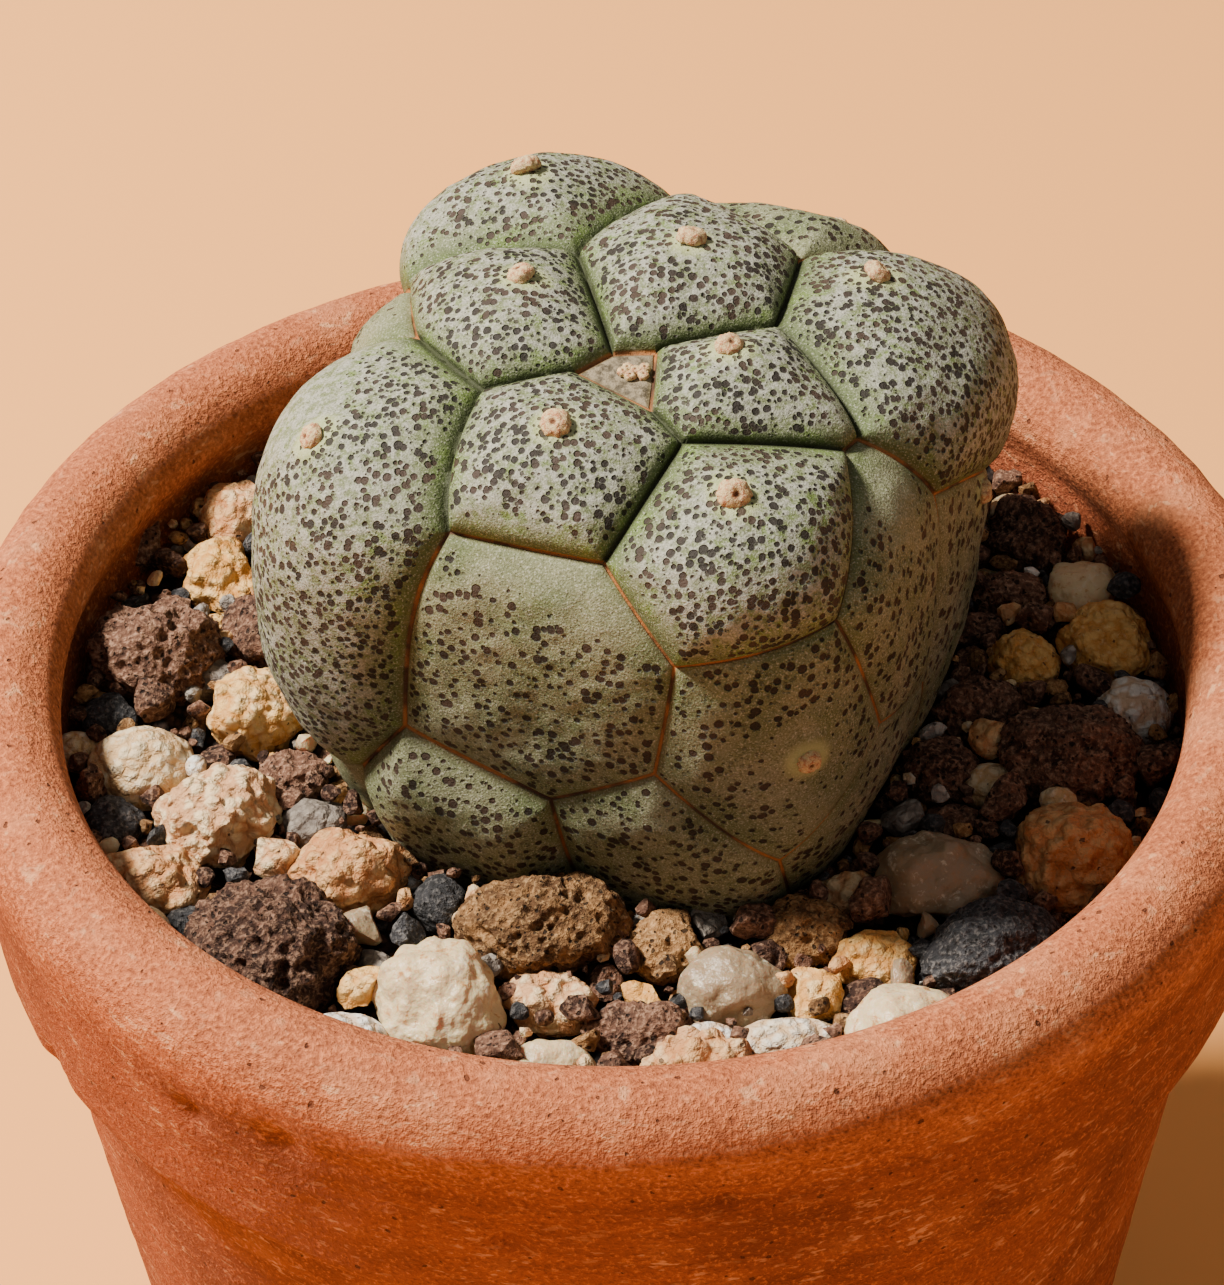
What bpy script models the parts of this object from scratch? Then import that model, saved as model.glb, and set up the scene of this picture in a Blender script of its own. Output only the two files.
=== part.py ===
"""Potted pseudolithos: a cube-shaped stem succulent in a small terracotta pot, dressed with mixed grit.

Metres, +Z up. The origin is the middle of the pot's underside, and the plant is seen from the -Y side.
"""

import math
import random

import bmesh
import bpy
import numpy as np
from mathutils import Vector, noise

# Clearance between pieces that touch, and the width of a sliver that isn't kept
GAP = 0.0003
SLIVER = 0.000005

# Pot: a thrown terracotta pot with a collar and a broad rolled lip
POT_HEIGHT = 0.097
RIM_RADIUS = 0.0535
LIP_RADIUS = 0.0447
LIP_ROUND = 0.0044
COLLAR_DROP = 0.0225
COLLAR_FOOT_RADIUS = 0.0518
BASE_RADIUS = 0.0397
WALL_SLOPE = 0.124
WALL_THICKNESS = 0.005
FLOOR_THICKNESS = 0.006
FLOOR_CORNER = 0.003
DRAIN_RADIUS = 0.0065
EDGE_ROUND = 0.0015
LIP_UNDERSIDE = 0.003
POT_SIDES = 48

# Crock: the domed potsherd that keeps the grit out of the drain hole
CROCK_RADIUS = 0.014
CROCK_CURVE = 0.040
CROCK_THICKNESS = 0.004
CROCK_CORNERS = 9
CROCK_BREAKAGE = 0.14
CROCK_RINGS = (0.35, 0.7, 1.0)
CROCK_SEED = 3

# Gritty mix: its surface rises a little towards the back
SOIL_LEVEL = 0.085
SOIL_TILT = 0.05
GRAIN_HEIGHT = 0.0009
GRAIN_SPACING = 0.0034

# Plant: a rounded cube about its own centre, with a short taproot
CENTRE = Vector((0.002, 0.004, 0.106))
CORNER_BEARING = 23.0
FACE_RADIUS = 0.0243
FACE_POWER = 3.7
TOP_REACH, TOP_POWER = 0.017, 3.3
BOTTOM_REACH, BOTTOM_POWER = 0.035, 2.3
ROOT_LENGTH, ROOT_SPREAD = 0.014, 16.0
PLANT_FINENESS = 5
PLANT_TRIANGLES = 3900
HOLLOW_TRIANGLES = 1100
HOLLOW_GAP = 0.0006
RELIEF_FADE = (0.076, 0.084)

# A tubercle rises from its seams by a broad dome, with a soft ridge towards each corner,
# and by a narrow roll that keeps the groove crisp. A swollen cushion and a flat plate have
# the width of the dome's slope in radians, and the roll's height in metres.
CUSHION = (0.32, 0.0007)
PLATE = (0.15, 0.0001)
DOME_POWER = 2.0
ROLL_WIDTH, ROLL_POWER = 0.045, 2.4
RIDGE_POWER = 6
SEAM_SEARCH = 0.05

# Tubercles stand in rings of four, each ring turned half a step from the one above it.
# Each has the bearing and the tilt of its middle in degrees, its reach against its
# neighbours, its dome's height in metres, and whether it is a cushion or a plate.
TUBERCLES = [
    ("growing_tip", -74, 16, -0.09, 0.0002, PLATE),
    ("young_front", -110, 41, -0.07, 0.0030, CUSHION),
    ("young_right", -40, 25, -0.05, 0.0030, CUSHION),
    ("young_back", 81, 26, 0.07, 0.0030, CUSHION),
    ("young_left", 137, 31, 0.04, 0.0030, CUSHION),
    ("crown_front", -70, 62, -0.04, 0.0034, CUSHION),
    ("crown_right", 12, 66, 0.08, 0.0026, CUSHION),
    ("crown_back", 114, 46, 0.04, 0.0044, CUSHION),
    ("crown_left", -172, 81, 0.11, 0.0026, CUSHION),
    ("side_front", -109, 87, -0.01, 0.0007, PLATE),
    ("side_right", -42, 84, 0.0, 0.0007, PLATE),
    ("side_back", 50, 68, 0.03, 0.0026, PLATE),
    ("side_left", 171, 75, 0.03, 0.0012, PLATE),
    ("old_front", -66, 93, 0.0, 0.0007, PLATE),
    ("old_right", -4, 88, 0.02, 0.0005, PLATE),
    ("old_back", 112, 88, 0.0, 0.0008, PLATE),
    ("foot_front", -88, 115, -0.05, 0.0011, PLATE),
    ("foot_front_left", -121, 119, -0.08, 0.0028, PLATE),
    ("foot_front_right", -53, 106, -0.04, 0.0, PLATE),
    ("foot_right", 18, 112, -0.02, 0.0007, PLATE),
    ("foot_back_right", 62, 106, 0.0, 0.0008, PLATE),
    ("foot_back", 96, 122, -0.05, 0.0008, PLATE),
    ("foot_back_left", 148, 108, 0.0, 0.0008, PLATE),
    ("foot_left", -178, 118, -0.05, 0.0008, PLATE),
]

# Nubs: the dry leaf scars on the tubercles, by bearing and tilt in degrees, and width
NUB_HEIGHT = 0.0011
NUBS = [
    (-116, 38, 0.0029),
    (-42, 23, 0.0027),
    (62, 22, 0.0029),
    (158, 26, 0.0027),
    (-73, 50, 0.0031),
    (17, 46, 0.0029),
    (114, 49, 0.0031),
    (-159, 60, 0.0026),
    (-67, 94, 0.0024),
    (52, 66, 0.0024),
    (112, 86, 0.0024),
    (-2, 86, 0.0024),
]

# Stones of the top dressing. Each kind has its lumpiness, roughness, number of flat
# breaks, colour and surface roughness.
LUMP_PITCH, ROUGH_PITCH = 1.3, 3.1
BREAK_REACH = (0.78, 0.92)
KINDS = {
    "brown_lava": (0.16, 0.10, 4, (0.235, 0.118, 0.078), 0.95),
    "tan_lava": (0.16, 0.10, 4, (0.36, 0.235, 0.15), 0.95),
    "black_lava": (0.14, 0.09, 5, (0.055, 0.053, 0.056), 0.8),
    "cream_grit": (0.18, 0.10, 3, (0.72, 0.53, 0.36), 0.9),
    "yellow_grit": (0.18, 0.08, 3, (0.76, 0.56, 0.31), 0.9),
    "grey_grit": (0.12, 0.06, 5, (0.33, 0.30, 0.27), 0.85),
    "quartz": (0.10, 0.05, 6, (0.66, 0.58, 0.48), 0.35),
    "white_pebble": (0.10, 0.03, 0, (0.86, 0.83, 0.77), 0.6),
}

# Stones that the photograph shows: place from above, width and depth, in metres
SHOWN_STONES = {
    "brown_lava": [
        (-0.039, 0.009, 0.011, 0.010),
        (-0.033, 0.014, 0.008, 0.007),
        (-0.027, -0.005, 0.006, 0.005),
        (-0.026, -0.023, 0.013, 0.012),
        (0.000, -0.033, 0.008, 0.005),
        (0.024, -0.005, 0.006, 0.006),
        (0.026, -0.011, 0.005, 0.004),
        (0.028, 0.001, 0.007, 0.006),
        (0.030, 0.010, 0.005, 0.004),
        (0.033, 0.015, 0.006, 0.005),
        (0.034, 0.020, 0.007, 0.009),
        (0.036, -0.005, 0.012, 0.009),
    ],
    "tan_lava": [
        (-0.006, -0.022, 0.013, 0.009),
        (0.002, -0.023, 0.006, 0.006),
        (0.014, -0.020, 0.007, 0.006),
    ],
    "black_lava": [
        (-0.043, 0.003, 0.005, 0.005),
        (-0.042, -0.009, 0.005, 0.005),
        (-0.014, -0.019, 0.005, 0.005),
        (0.027, -0.025, 0.012, 0.010),
    ],
    "cream_grit": [
        (-0.036, -0.015, 0.008, 0.007),
        (-0.034, 0.024, 0.007, 0.007),
        (-0.033, -0.010, 0.010, 0.009),
        (-0.020, -0.016, 0.009, 0.008),
        (-0.005, -0.030, 0.007, 0.005),
        (0.018, -0.016, 0.005, 0.004),
        (0.035, -0.016, 0.010, 0.009),
    ],
    "yellow_grit": [
        (-0.033, 0.020, 0.006, 0.008),
        (-0.030, 0.002, 0.008, 0.008),
        (0.014, -0.029, 0.005, 0.005),
        (0.018, -0.026, 0.007, 0.005),
        (0.035, 0.008, 0.006, 0.006),
        (0.040, 0.009, 0.008, 0.007),
    ],
    "grey_grit": [
        (-0.030, 0.030, 0.004, 0.004),
        (-0.025, -0.010, 0.006, 0.005),
    ],
    "quartz": [
        (-0.013, -0.029, 0.010, 0.010),
        (-0.006, -0.035, 0.007, 0.004),
        (0.007, -0.028, 0.008, 0.007),
        (0.023, -0.020, 0.010, 0.008),
        (0.038, 0.014, 0.006, 0.006),
    ],
    "white_pebble": [
        (-0.039, -0.003, 0.008, 0.007),
        (0.011, -0.033, 0.008, 0.004),
        (0.041, 0.000, 0.006, 0.006),
    ],
}

# Stones where the plant and the lip hide the dressing, drawn by a seeded rule
HIDDEN_STONES = 13
HIDDEN_SIZES = (0.006, 0.011)
HIDDEN_BEHIND = (40, 140)
HIDDEN_BY_LIP = (-150, -35)
HIDDEN_LIP_RADIUS = 0.036
HIDDEN_BAND = 0.012
HIDDEN_CROWDING = 0.46
THROWS, SHRINKING_THROWS = 4000, 1500
STONE_SEED = 11
STONE_DEPTH = 0.9
STONE_FLATNESS = 0.85
STONE_STAND = 0.45

# Settling: each round moves a stone by a little more than it overlaps
STONE_WALL_GAP = 0.0012
STONE_PLANT_MARGIN = 1.04
PUSH = 1.1
SETTLE_ROUNDS = 160
SOCKET_GAP = 0.00036


def clear_scene():
    for obj in list(bpy.data.objects):
        bpy.data.objects.remove(obj, do_unlink=True)


def material(name, colour, roughness):
    made = bpy.data.materials.new(name)
    made.use_nodes = True
    shader = made.node_tree.nodes["Principled BSDF"]
    shader.inputs["Base Color"].default_value = (*colour, 1.0)
    shader.inputs["Roughness"].default_value = roughness
    return made


def object_from(bm, name, finish=None):
    """Turns a bmesh into an object of that name in the scene."""
    mesh = bpy.data.meshes.new(name)
    bm.to_mesh(mesh)
    bm.free()
    obj = bpy.data.objects.new(name, mesh)
    bpy.context.scene.collection.objects.link(obj)
    if finish:
        mesh.materials.append(finish)
    return obj


def as_tool(obj):
    """Marks an object as a cutter, which isn't part of the model."""
    obj.hide_render = True
    obj.display_type = "WIRE"
    return obj


def apply_boolean(obj, tools, operation):
    """Cuts or joins all the tools at once, applies the result and removes the tools."""
    group = bpy.data.collections.new(obj.name + "_tools")
    bpy.context.scene.collection.children.link(group)
    for tool in tools:
        bpy.context.scene.collection.objects.unlink(tool)
        group.objects.link(tool)
    cut = obj.modifiers.new("join" if operation == "UNION" else "cut", "BOOLEAN")
    cut.operand_type = "COLLECTION"
    cut.collection = group
    cut.operation = operation
    cut.solver = "EXACT"
    apply_modifiers(obj)
    for tool in tools:
        bpy.data.objects.remove(tool, do_unlink=True)
    bpy.data.collections.remove(group)


def apply_modifiers(obj):
    graph = bpy.context.evaluated_depsgraph_get()
    mesh = bpy.data.meshes.new_from_object(obj.evaluated_get(graph))
    obj.modifiers.clear()
    obj.data = mesh


def shade(obj, sharp_angle=40.0):
    obj.data.shade_smooth()
    obj.data.set_sharp_from_angle(angle=math.radians(sharp_angle))


def quarter_round(centre_r, centre_z, radius, start, end, steps):
    """Points on an arc of a turned profile, with angles in degrees from +R towards +Z."""
    angles = [math.radians(start + (end - start) * i / steps) for i in range(steps + 1)]
    return [(centre_r + radius * math.cos(a), centre_z + radius * math.sin(a)) for a in angles]


def turned(name, profile, sides, finish=None):
    """Spins a closed profile of (radius, height) points about the Z axis."""
    bm = bmesh.new()
    ring = [bm.verts.new((r, 0.0, z)) for r, z in profile]
    edges = [bm.edges.new((a, b)) for a, b in zip(ring, ring[1:] + ring[:1])]
    bmesh.ops.spin(
        bm,
        geom=ring + edges,
        cent=(0, 0, 0),
        axis=(0, 0, 1),
        angle=math.tau,
        steps=sides,
        use_merge=True,
    )
    bmesh.ops.remove_doubles(bm, verts=bm.verts, dist=0.000001)
    bmesh.ops.recalc_face_normals(bm, faces=bm.faces)
    return object_from(bm, name, finish)


def outer_wall(z):
    return BASE_RADIUS + WALL_SLOPE * z


def inner_wall(z):
    return outer_wall(z) - WALL_THICKNESS


def pot_profile():
    """The pot's section, from the drain hole round the outside to the inside."""
    collar_z = POT_HEIGHT - COLLAR_DROP
    foot = quarter_round(BASE_RADIUS - EDGE_ROUND, EDGE_ROUND, EDGE_ROUND, -90, 0, 2)
    collar = quarter_round(
        COLLAR_FOOT_RADIUS - EDGE_ROUND, collar_z + EDGE_ROUND, EDGE_ROUND, -90, 0, 2
    )
    lip_z = POT_HEIGHT - LIP_ROUND
    lip_out = quarter_round(RIM_RADIUS - LIP_ROUND, lip_z, LIP_ROUND, 0, 90, 4)
    lip_in = quarter_round(LIP_RADIUS + LIP_ROUND, lip_z, LIP_ROUND, 90, 180, 4)
    return [
        (DRAIN_RADIUS, 0.0),
        *foot,
        (outer_wall(collar_z), collar_z),
        *collar,
        *lip_out,
        *lip_in,
        (inner_wall(lip_z - LIP_UNDERSIDE), lip_z - LIP_UNDERSIDE),
        (inner_wall(FLOOR_THICKNESS + FLOOR_CORNER), FLOOR_THICKNESS + FLOOR_CORNER),
        (inner_wall(FLOOR_THICKNESS) - FLOOR_CORNER, FLOOR_THICKNESS),
        (DRAIN_RADIUS, FLOOR_THICKNESS),
    ]


def make_pot():
    pot = turned("pot", pot_profile(), POT_SIDES, material("terracotta", (0.60, 0.23, 0.115), 0.85))
    shade(pot, 50)
    return pot


def crock_outline(grow):
    """The broken edge of the potsherd, as distances from its middle, one for each corner."""
    draw = random.Random(CROCK_SEED)
    broken = [draw.uniform(0, CROCK_BREAKAGE) for _ in range(CROCK_CORNERS)]
    return [CROCK_RADIUS * (1 - share) + grow for share in broken]


def crock_point(radius, angle, lift):
    """A point on the dome, raised above its underside by lift."""
    drop = radius * radius / (2 * CROCK_CURVE)
    top = FLOOR_THICKNESS + GAP + CROCK_RADIUS**2 / (2 * CROCK_CURVE)
    return (radius * math.cos(angle), radius * math.sin(angle), top - drop + lift)


def crock_rings(bm, grow, lift, fractions):
    """Rings of the domed face from its rim inwards, and the point in its middle."""
    rim = crock_outline(grow)
    rings = []
    for fraction in fractions:
        places = [
            crock_point(fraction * r, math.tau * i / CROCK_CORNERS, lift) for i, r in enumerate(rim)
        ]
        rings.append([bm.verts.new(place) for place in places])
    return rings


def close_crock(bm, rings):
    """Bridges the rings and caps both ends."""
    for first, second in zip(rings, rings[1:]):
        for i in range(CROCK_CORNERS):
            j = (i + 1) % CROCK_CORNERS
            bm.faces.new((first[i], first[j], second[j], second[i]))
    for ring in (rings[0], rings[-1]):
        bmesh.ops.contextual_create(bm, geom=ring)
    bmesh.ops.triangulate(bm, faces=bm.faces)
    bmesh.ops.recalc_face_normals(bm, faces=bm.faces)


def make_crock():
    bm = bmesh.new()
    under = crock_rings(bm, 0.0, 0.0, CROCK_RINGS)
    upper = crock_rings(bm, 0.0, CROCK_THICKNESS, CROCK_RINGS[::-1])
    close_crock(bm, under + upper)
    crock = object_from(bm, "drain_crock", material("old_terracotta", (0.47, 0.21, 0.12), 0.9))
    shade(crock, 50)
    return crock


def crock_recess():
    """The room that the crock and the space under it take out of the grit."""
    bm = bmesh.new()
    below = crock_rings(bm, 2 * GAP, 0.0, CROCK_RINGS[-1:])
    upper = crock_rings(bm, 2 * GAP, CROCK_THICKNESS + GAP, CROCK_RINGS[::-1])
    for vert in below[0]:
        vert.co.z = FLOOR_THICKNESS - CROCK_THICKNESS
    close_crock(bm, below + upper)
    return as_tool(object_from(bm, "crock_recess"))


def direction(bearing, tilt):
    """A unit vector from a bearing about Z and a tilt from Z, in degrees."""
    b, t = math.radians(bearing), math.radians(tilt)
    return np.array((math.sin(t) * math.cos(b), math.sin(t) * math.sin(b), math.cos(t)))


MIDDLES = np.array([direction(row[1], row[2]) for row in TUBERCLES])
REACHES = np.array([row[3] for row in TUBERCLES])
SWELLS = np.array([row[4] for row in TUBERCLES])
DOME_WIDTHS = np.array([row[5][0] for row in TUBERCLES])
ROLLS = np.array([row[5][1] for row in TUBERCLES])


def cube_radius(ways):
    """Distance from the centre to the smooth rounded cube, in each direction."""
    level = np.hypot(ways[:, 0], ways[:, 1])
    turn = np.arctan2(ways[:, 1], ways[:, 0]) - math.radians(CORNER_BEARING) + math.pi / 4
    across = np.abs(np.cos(turn)) ** FACE_POWER + np.abs(np.sin(turn)) ** FACE_POWER
    face = FACE_RADIUS * across ** (-1 / FACE_POWER)
    up = ways[:, 2] > 0
    reach = np.where(up, TOP_REACH, BOTTOM_REACH)
    power = np.where(up, TOP_POWER, BOTTOM_POWER)
    return ((level / face) ** power + (np.abs(ways[:, 2]) / reach) ** power) ** (-1 / power)


def seam_distances(ways):
    """Each direction's tubercle, and the angle from there to the seam with every other one."""
    claims = ways @ MIDDLES.T + REACHES
    owner = claims.argmax(axis=1)
    apart = np.linalg.norm(MIDDLES[owner][:, None, :] - MIDDLES[None, :, :], axis=2)
    away = (claims.max(axis=1)[:, None] - claims) / np.maximum(apart, SLIVER)
    away[np.arange(len(ways)), owner] = math.pi
    return owner, np.maximum(away, SLIVER)


def rise_from(distance, width, power):
    """0 at a seam and 1 from that width on, with a round shoulder."""
    return 1 - (1 - np.clip(distance / width, 0, 1)) ** power


def body_radius(ways):
    """Distance from the centre to the plant's skin: cube, swollen tubercles and taproot."""
    owner, away = seam_distances(ways)
    near = (away ** -float(RIDGE_POWER)).sum(axis=1) ** (-1 / RIDGE_POWER)
    dome = rise_from(near, DOME_WIDTHS[owner], DOME_POWER)
    roll = rise_from(near, ROLL_WIDTH, ROLL_POWER)
    rise = SWELLS[owner] * dome + ROLLS[owner] * roll
    cube = cube_radius(ways)
    height = CENTRE.z + ways[:, 2] * cube
    fade = np.clip((height - RELIEF_FADE[0]) / (RELIEF_FADE[1] - RELIEF_FADE[0]), 0, 1)
    from_root = np.degrees(np.arccos(np.clip(-ways[:, 2], -1, 1)))
    root = ROOT_LENGTH * np.exp(-((from_root / ROOT_SPREAD) ** 2))
    return cube + rise * fade + root


def cut_seam(bm, first, second):
    """Splits the faces that the seam between two tubercles crosses, exactly along the seam."""
    normal = MIDDLES[first] - MIDDLES[second]
    offset = REACHES[first] - REACHES[second]
    crossed = []
    for face in bm.faces:
        spans = [float(normal @ vert.co) + offset for vert in face.verts]
        if min(spans) >= 0 or max(spans) <= 0:
            continue
        middle = np.array(face.calc_center_median())
        claims = MIDDLES @ middle + REACHES
        if set(np.argsort(claims)[-3:]) >= {first, second}:
            crossed.append(face)
    if not crossed:
        return
    parts = set(crossed)
    for face in crossed:
        parts.update(face.edges)
        parts.update(face.verts)
    point = -offset * normal / (normal @ normal)
    bmesh.ops.bisect_plane(bm, geom=list(parts), plane_co=point, plane_no=normal, dist=1e-5)


def neighbours(ways):
    """Pairs of tubercles that share a seam, found from the directions next to one."""
    owner, away = seam_distances(ways)
    close = away.min(axis=1) < SEAM_SEARCH
    pairs = zip(owner[close], away[close].argmin(axis=1))
    return sorted({(int(max(pair)), int(min(pair))) for pair in pairs})


def body_mesh(grow, seams):
    """The plant's skin as a closed mesh, grown outwards by grow."""
    bm = bmesh.new()
    bmesh.ops.create_icosphere(bm, subdivisions=PLANT_FINENESS, radius=1.0)
    if seams:
        for first, second in neighbours(np.array([vert.co[:] for vert in bm.verts])):
            cut_seam(bm, first, second)
        bmesh.ops.triangulate(bm, faces=bm.faces)
    ways = np.array([vert.co.normalized() for vert in bm.verts])
    for vert, way, radius in zip(bm.verts, ways, body_radius(ways)):
        vert.co = CENTRE + Vector(way) * float(radius + grow)
    bmesh.ops.recalc_face_normals(bm, faces=bm.faces)
    return bm


def make_nub(number, bearing, tilt, width):
    """One low dome whose root is sunk into the tubercle."""
    way = direction(bearing, tilt)
    radius = float(body_radius(way[None, :])[0])
    bm = bmesh.new()
    bmesh.ops.create_icosphere(bm, subdivisions=2, radius=width / 2)
    sink = width / 2 - NUB_HEIGHT
    bmesh.ops.translate(bm, verts=bm.verts, vec=CENTRE + Vector(way) * (radius - sink))
    return object_from(bm, f"nub_{number}")


def thin_out(obj, triangles):
    """Collapses the edges that show least, down to about that many triangles."""
    thin = obj.modifiers.new("thin", "DECIMATE")
    thin.ratio = triangles / len(obj.data.polygons)
    apply_modifiers(obj)


def make_plant():
    skin = material("plant_skin", (0.30, 0.33, 0.22), 0.7)
    plant = object_from(body_mesh(0.0, seams=True), "plant", skin)
    thin_out(plant, PLANT_TRIANGLES)
    nubs = [make_nub(number, *row) for number, row in enumerate(NUBS)]
    apply_boolean(plant, nubs, "UNION")
    shade(plant, 35)
    return plant


def soil_level(y):
    return SOIL_LEVEL + SOIL_TILT * y


def stone_shape(kind, width, depth, draw):
    """Corner points of one stone about its own middle, with the faces of a coarse sphere."""
    lumpiness, roughness, breaks = KINDS[kind][:3]
    shift = Vector((draw.uniform(0, 50), draw.uniform(0, 50), draw.uniform(0, 50)))
    facets = []
    for _ in range(breaks):
        way = Vector((draw.gauss(0, 1), draw.gauss(0, 1), draw.gauss(0, 1))).normalized()
        facets.append((way, draw.uniform(*BREAK_REACH)))
    height = STONE_FLATNESS * min(width, depth)
    bm = bmesh.new()
    bmesh.ops.create_icosphere(bm, subdivisions=2, radius=1.0)
    for vert in bm.verts:
        way = vert.co.normalized()
        size = 1.0 + lumpiness * noise.noise(way * LUMP_PITCH + shift)
        size += roughness * noise.noise(way * ROUGH_PITCH + shift)
        for facet, limit in facets:
            lean = way.dot(facet)
            if lean * size > limit:
                size = limit / lean
        vert.co = Vector((way.x * width, way.y * depth, way.z * height)) * (size / 2)
    return bm


class Stone:
    """A stone on its way to its place: its mesh, its corners and its middle."""

    def __init__(self, kind, x, y, width, depth, draw):
        self.kind = kind
        self.bm = stone_shape(kind, width, depth, draw)
        self.corners = np.array([vert.co[:] for vert in self.bm.verts])
        self.size = (width + depth) / 2
        z = soil_level(y) + STONE_STAND * self.size / 2
        self.middle = np.array((x, y, z))

    def reach(self, way):
        return float((self.corners @ way).max())


def is_hidden(x, y):
    """True behind the plant and close under the front of the lip."""
    bearing = math.degrees(math.atan2(y, x))
    behind = HIDDEN_BEHIND[0] < bearing < HIDDEN_BEHIND[1]
    in_front = HIDDEN_BY_LIP[0] < bearing < HIDDEN_BY_LIP[1]
    return behind or (in_front and math.hypot(x, y) > HIDDEN_LIP_RADIUS)


def outside_plant(x, y, size):
    z = soil_level(y)
    away = np.array((x, y, z)) - np.array(CENTRE)
    distance = float(np.linalg.norm(away))
    return distance > float(body_radius((away / distance)[None, :])[0]) + size / 2


def add_hidden_stones(stones, draw):
    """Throws stones at the hidden parts of the dressing, and keeps those that land clear."""
    names = sorted(KINDS)
    wanted = len(stones) + HIDDEN_STONES
    small, large = HIDDEN_SIZES
    for attempt in range(THROWS):
        if len(stones) == wanted:
            break
        size = large - (large - small) * min(1.0, attempt / SHRINKING_THROWS)
        bearing = draw.uniform(-math.pi, math.pi)
        radius = inner_wall(SOIL_LEVEL) - size / 2 - draw.uniform(0, HIDDEN_BAND)
        x, y = radius * math.cos(bearing), radius * math.sin(bearing)
        if not is_hidden(x, y) or not outside_plant(x, y, size):
            continue
        near = [math.hypot(x - s.middle[0], y - s.middle[1]) - s.size / 2 for s in stones]
        if min(near) < size * HIDDEN_CROWDING:
            continue
        stones.append(Stone(draw.choice(names), x, y, size, size * STONE_DEPTH, draw))


def push_apart(first, second):
    """Moves two stones apart until a flat gap fits between them, and returns how far."""
    way = second.middle - first.middle
    distance = float(np.linalg.norm(way))
    way = way / distance
    short = first.reach(way) + second.reach(-way) + GAP - distance
    if short <= 0:
        return 0.0
    level = np.array((way[0], way[1], 0.0))
    step = level / max(np.linalg.norm(level), SLIVER) * (PUSH * short)
    share = second.size / (first.size + second.size)
    first.middle -= step * share
    second.middle += step * (1 - share)
    return short


def keep_in_pot(stone):
    """Draws a stone in from the pot's wall, and returns how far."""
    corners = stone.corners + stone.middle
    over = np.hypot(corners[:, 0], corners[:, 1]) + STONE_WALL_GAP - inner_wall(corners[:, 2])
    over = max(0.0, float(over.max()))
    level = stone.middle * np.array((1.0, 1.0, 0.0))
    stone.middle -= level / np.linalg.norm(level) * over
    return over


def keep_off_plant(stone):
    """Moves a stone out of the plant, and returns how far."""
    away = stone.corners * STONE_PLANT_MARGIN + stone.middle - np.array(CENTRE)
    distance = np.linalg.norm(away, axis=1)
    short = body_radius(away / distance[:, None]) + 2 * GAP - distance
    short = max(0.0, float(short.max()))
    level = (stone.middle - np.array(CENTRE)) * np.array((1.0, 1.0, 0.0))
    stone.middle += level / np.linalg.norm(level) * short
    return short


def settle(stones):
    """Shuffles the stones until each has its clearance all round."""
    for _ in range(SETTLE_ROUNDS):
        moved = 0.0
        for index, stone in enumerate(stones):
            for other in stones[:index]:
                moved = max(moved, push_apart(other, stone))
        for stone in stones:
            moved = max(moved, keep_off_plant(stone), keep_in_pot(stone))
        if moved < GAP / 10:
            break


def lay_stones():
    draw = random.Random(STONE_SEED)
    stones = []
    for kind, rows in SHOWN_STONES.items():
        for row in rows:
            stones.append(Stone(kind, *row, draw))
    add_hidden_stones(stones, draw)
    settle(stones)
    return stones


def stone_socket(stone):
    """The stone grown by the clearance, which presses its place into the grit."""
    bm = stone.bm.copy()
    for vert in bm.verts:
        vert.co += vert.co.normalized() * SOCKET_GAP
    bmesh.ops.translate(bm, verts=bm.verts, vec=Vector(stone.middle))
    return as_tool(object_from(bm, "stone_socket"))


def make_stones(stones):
    finishes = {kind: material(kind, row[3], row[4]) for kind, row in KINDS.items()}
    counts = dict.fromkeys(KINDS, 0)
    for stone in stones:
        counts[stone.kind] += 1
        bmesh.ops.translate(stone.bm, verts=stone.bm.verts, vec=Vector(stone.middle))
        name = f"{stone.kind}_{counts[stone.kind]:02d}"
        shade(object_from(stone.bm, name, finishes[stone.kind]), 60)


def grit_profile():
    """The section of the grit, from the pot's floor up its wall and inwards over the top."""
    floor = FLOOR_THICKNESS + GAP
    outside = inner_wall(SOIL_LEVEL) - GAP
    rings = round(outside / GRAIN_SPACING)
    return [
        (0.0, floor),
        (inner_wall(floor) - FLOOR_CORNER - 2 * GAP, floor),
        (inner_wall(floor + FLOOR_CORNER) - 2 * GAP, floor + FLOOR_CORNER + GAP),
        *[(outside * (1 - i / rings), SOIL_LEVEL) for i in range(rings + 1)],
    ]


def roughen(obj):
    """Raises and lowers the top of the grit by whole grains, still just clear of the wall."""
    bm = bmesh.new()
    bm.from_mesh(obj.data)
    for vert in bm.verts:
        if vert.co.z < SOIL_LEVEL - GAP:
            continue
        x, y = vert.co.x, vert.co.y
        at_wall = math.hypot(x, y) > inner_wall(SOIL_LEVEL) - 2 * GAP
        grain = noise.cell(Vector((x, y, 0.0)) / GRAIN_SPACING)
        vert.co.z = soil_level(y) + GRAIN_HEIGHT * (2 * grain - 1)
        if at_wall:
            vert.co.xy *= (inner_wall(vert.co.z) - GAP) / math.hypot(x, y)
    bmesh.ops.triangulate(bm, faces=bm.faces)
    bm.to_mesh(obj.data)
    bm.free()


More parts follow.
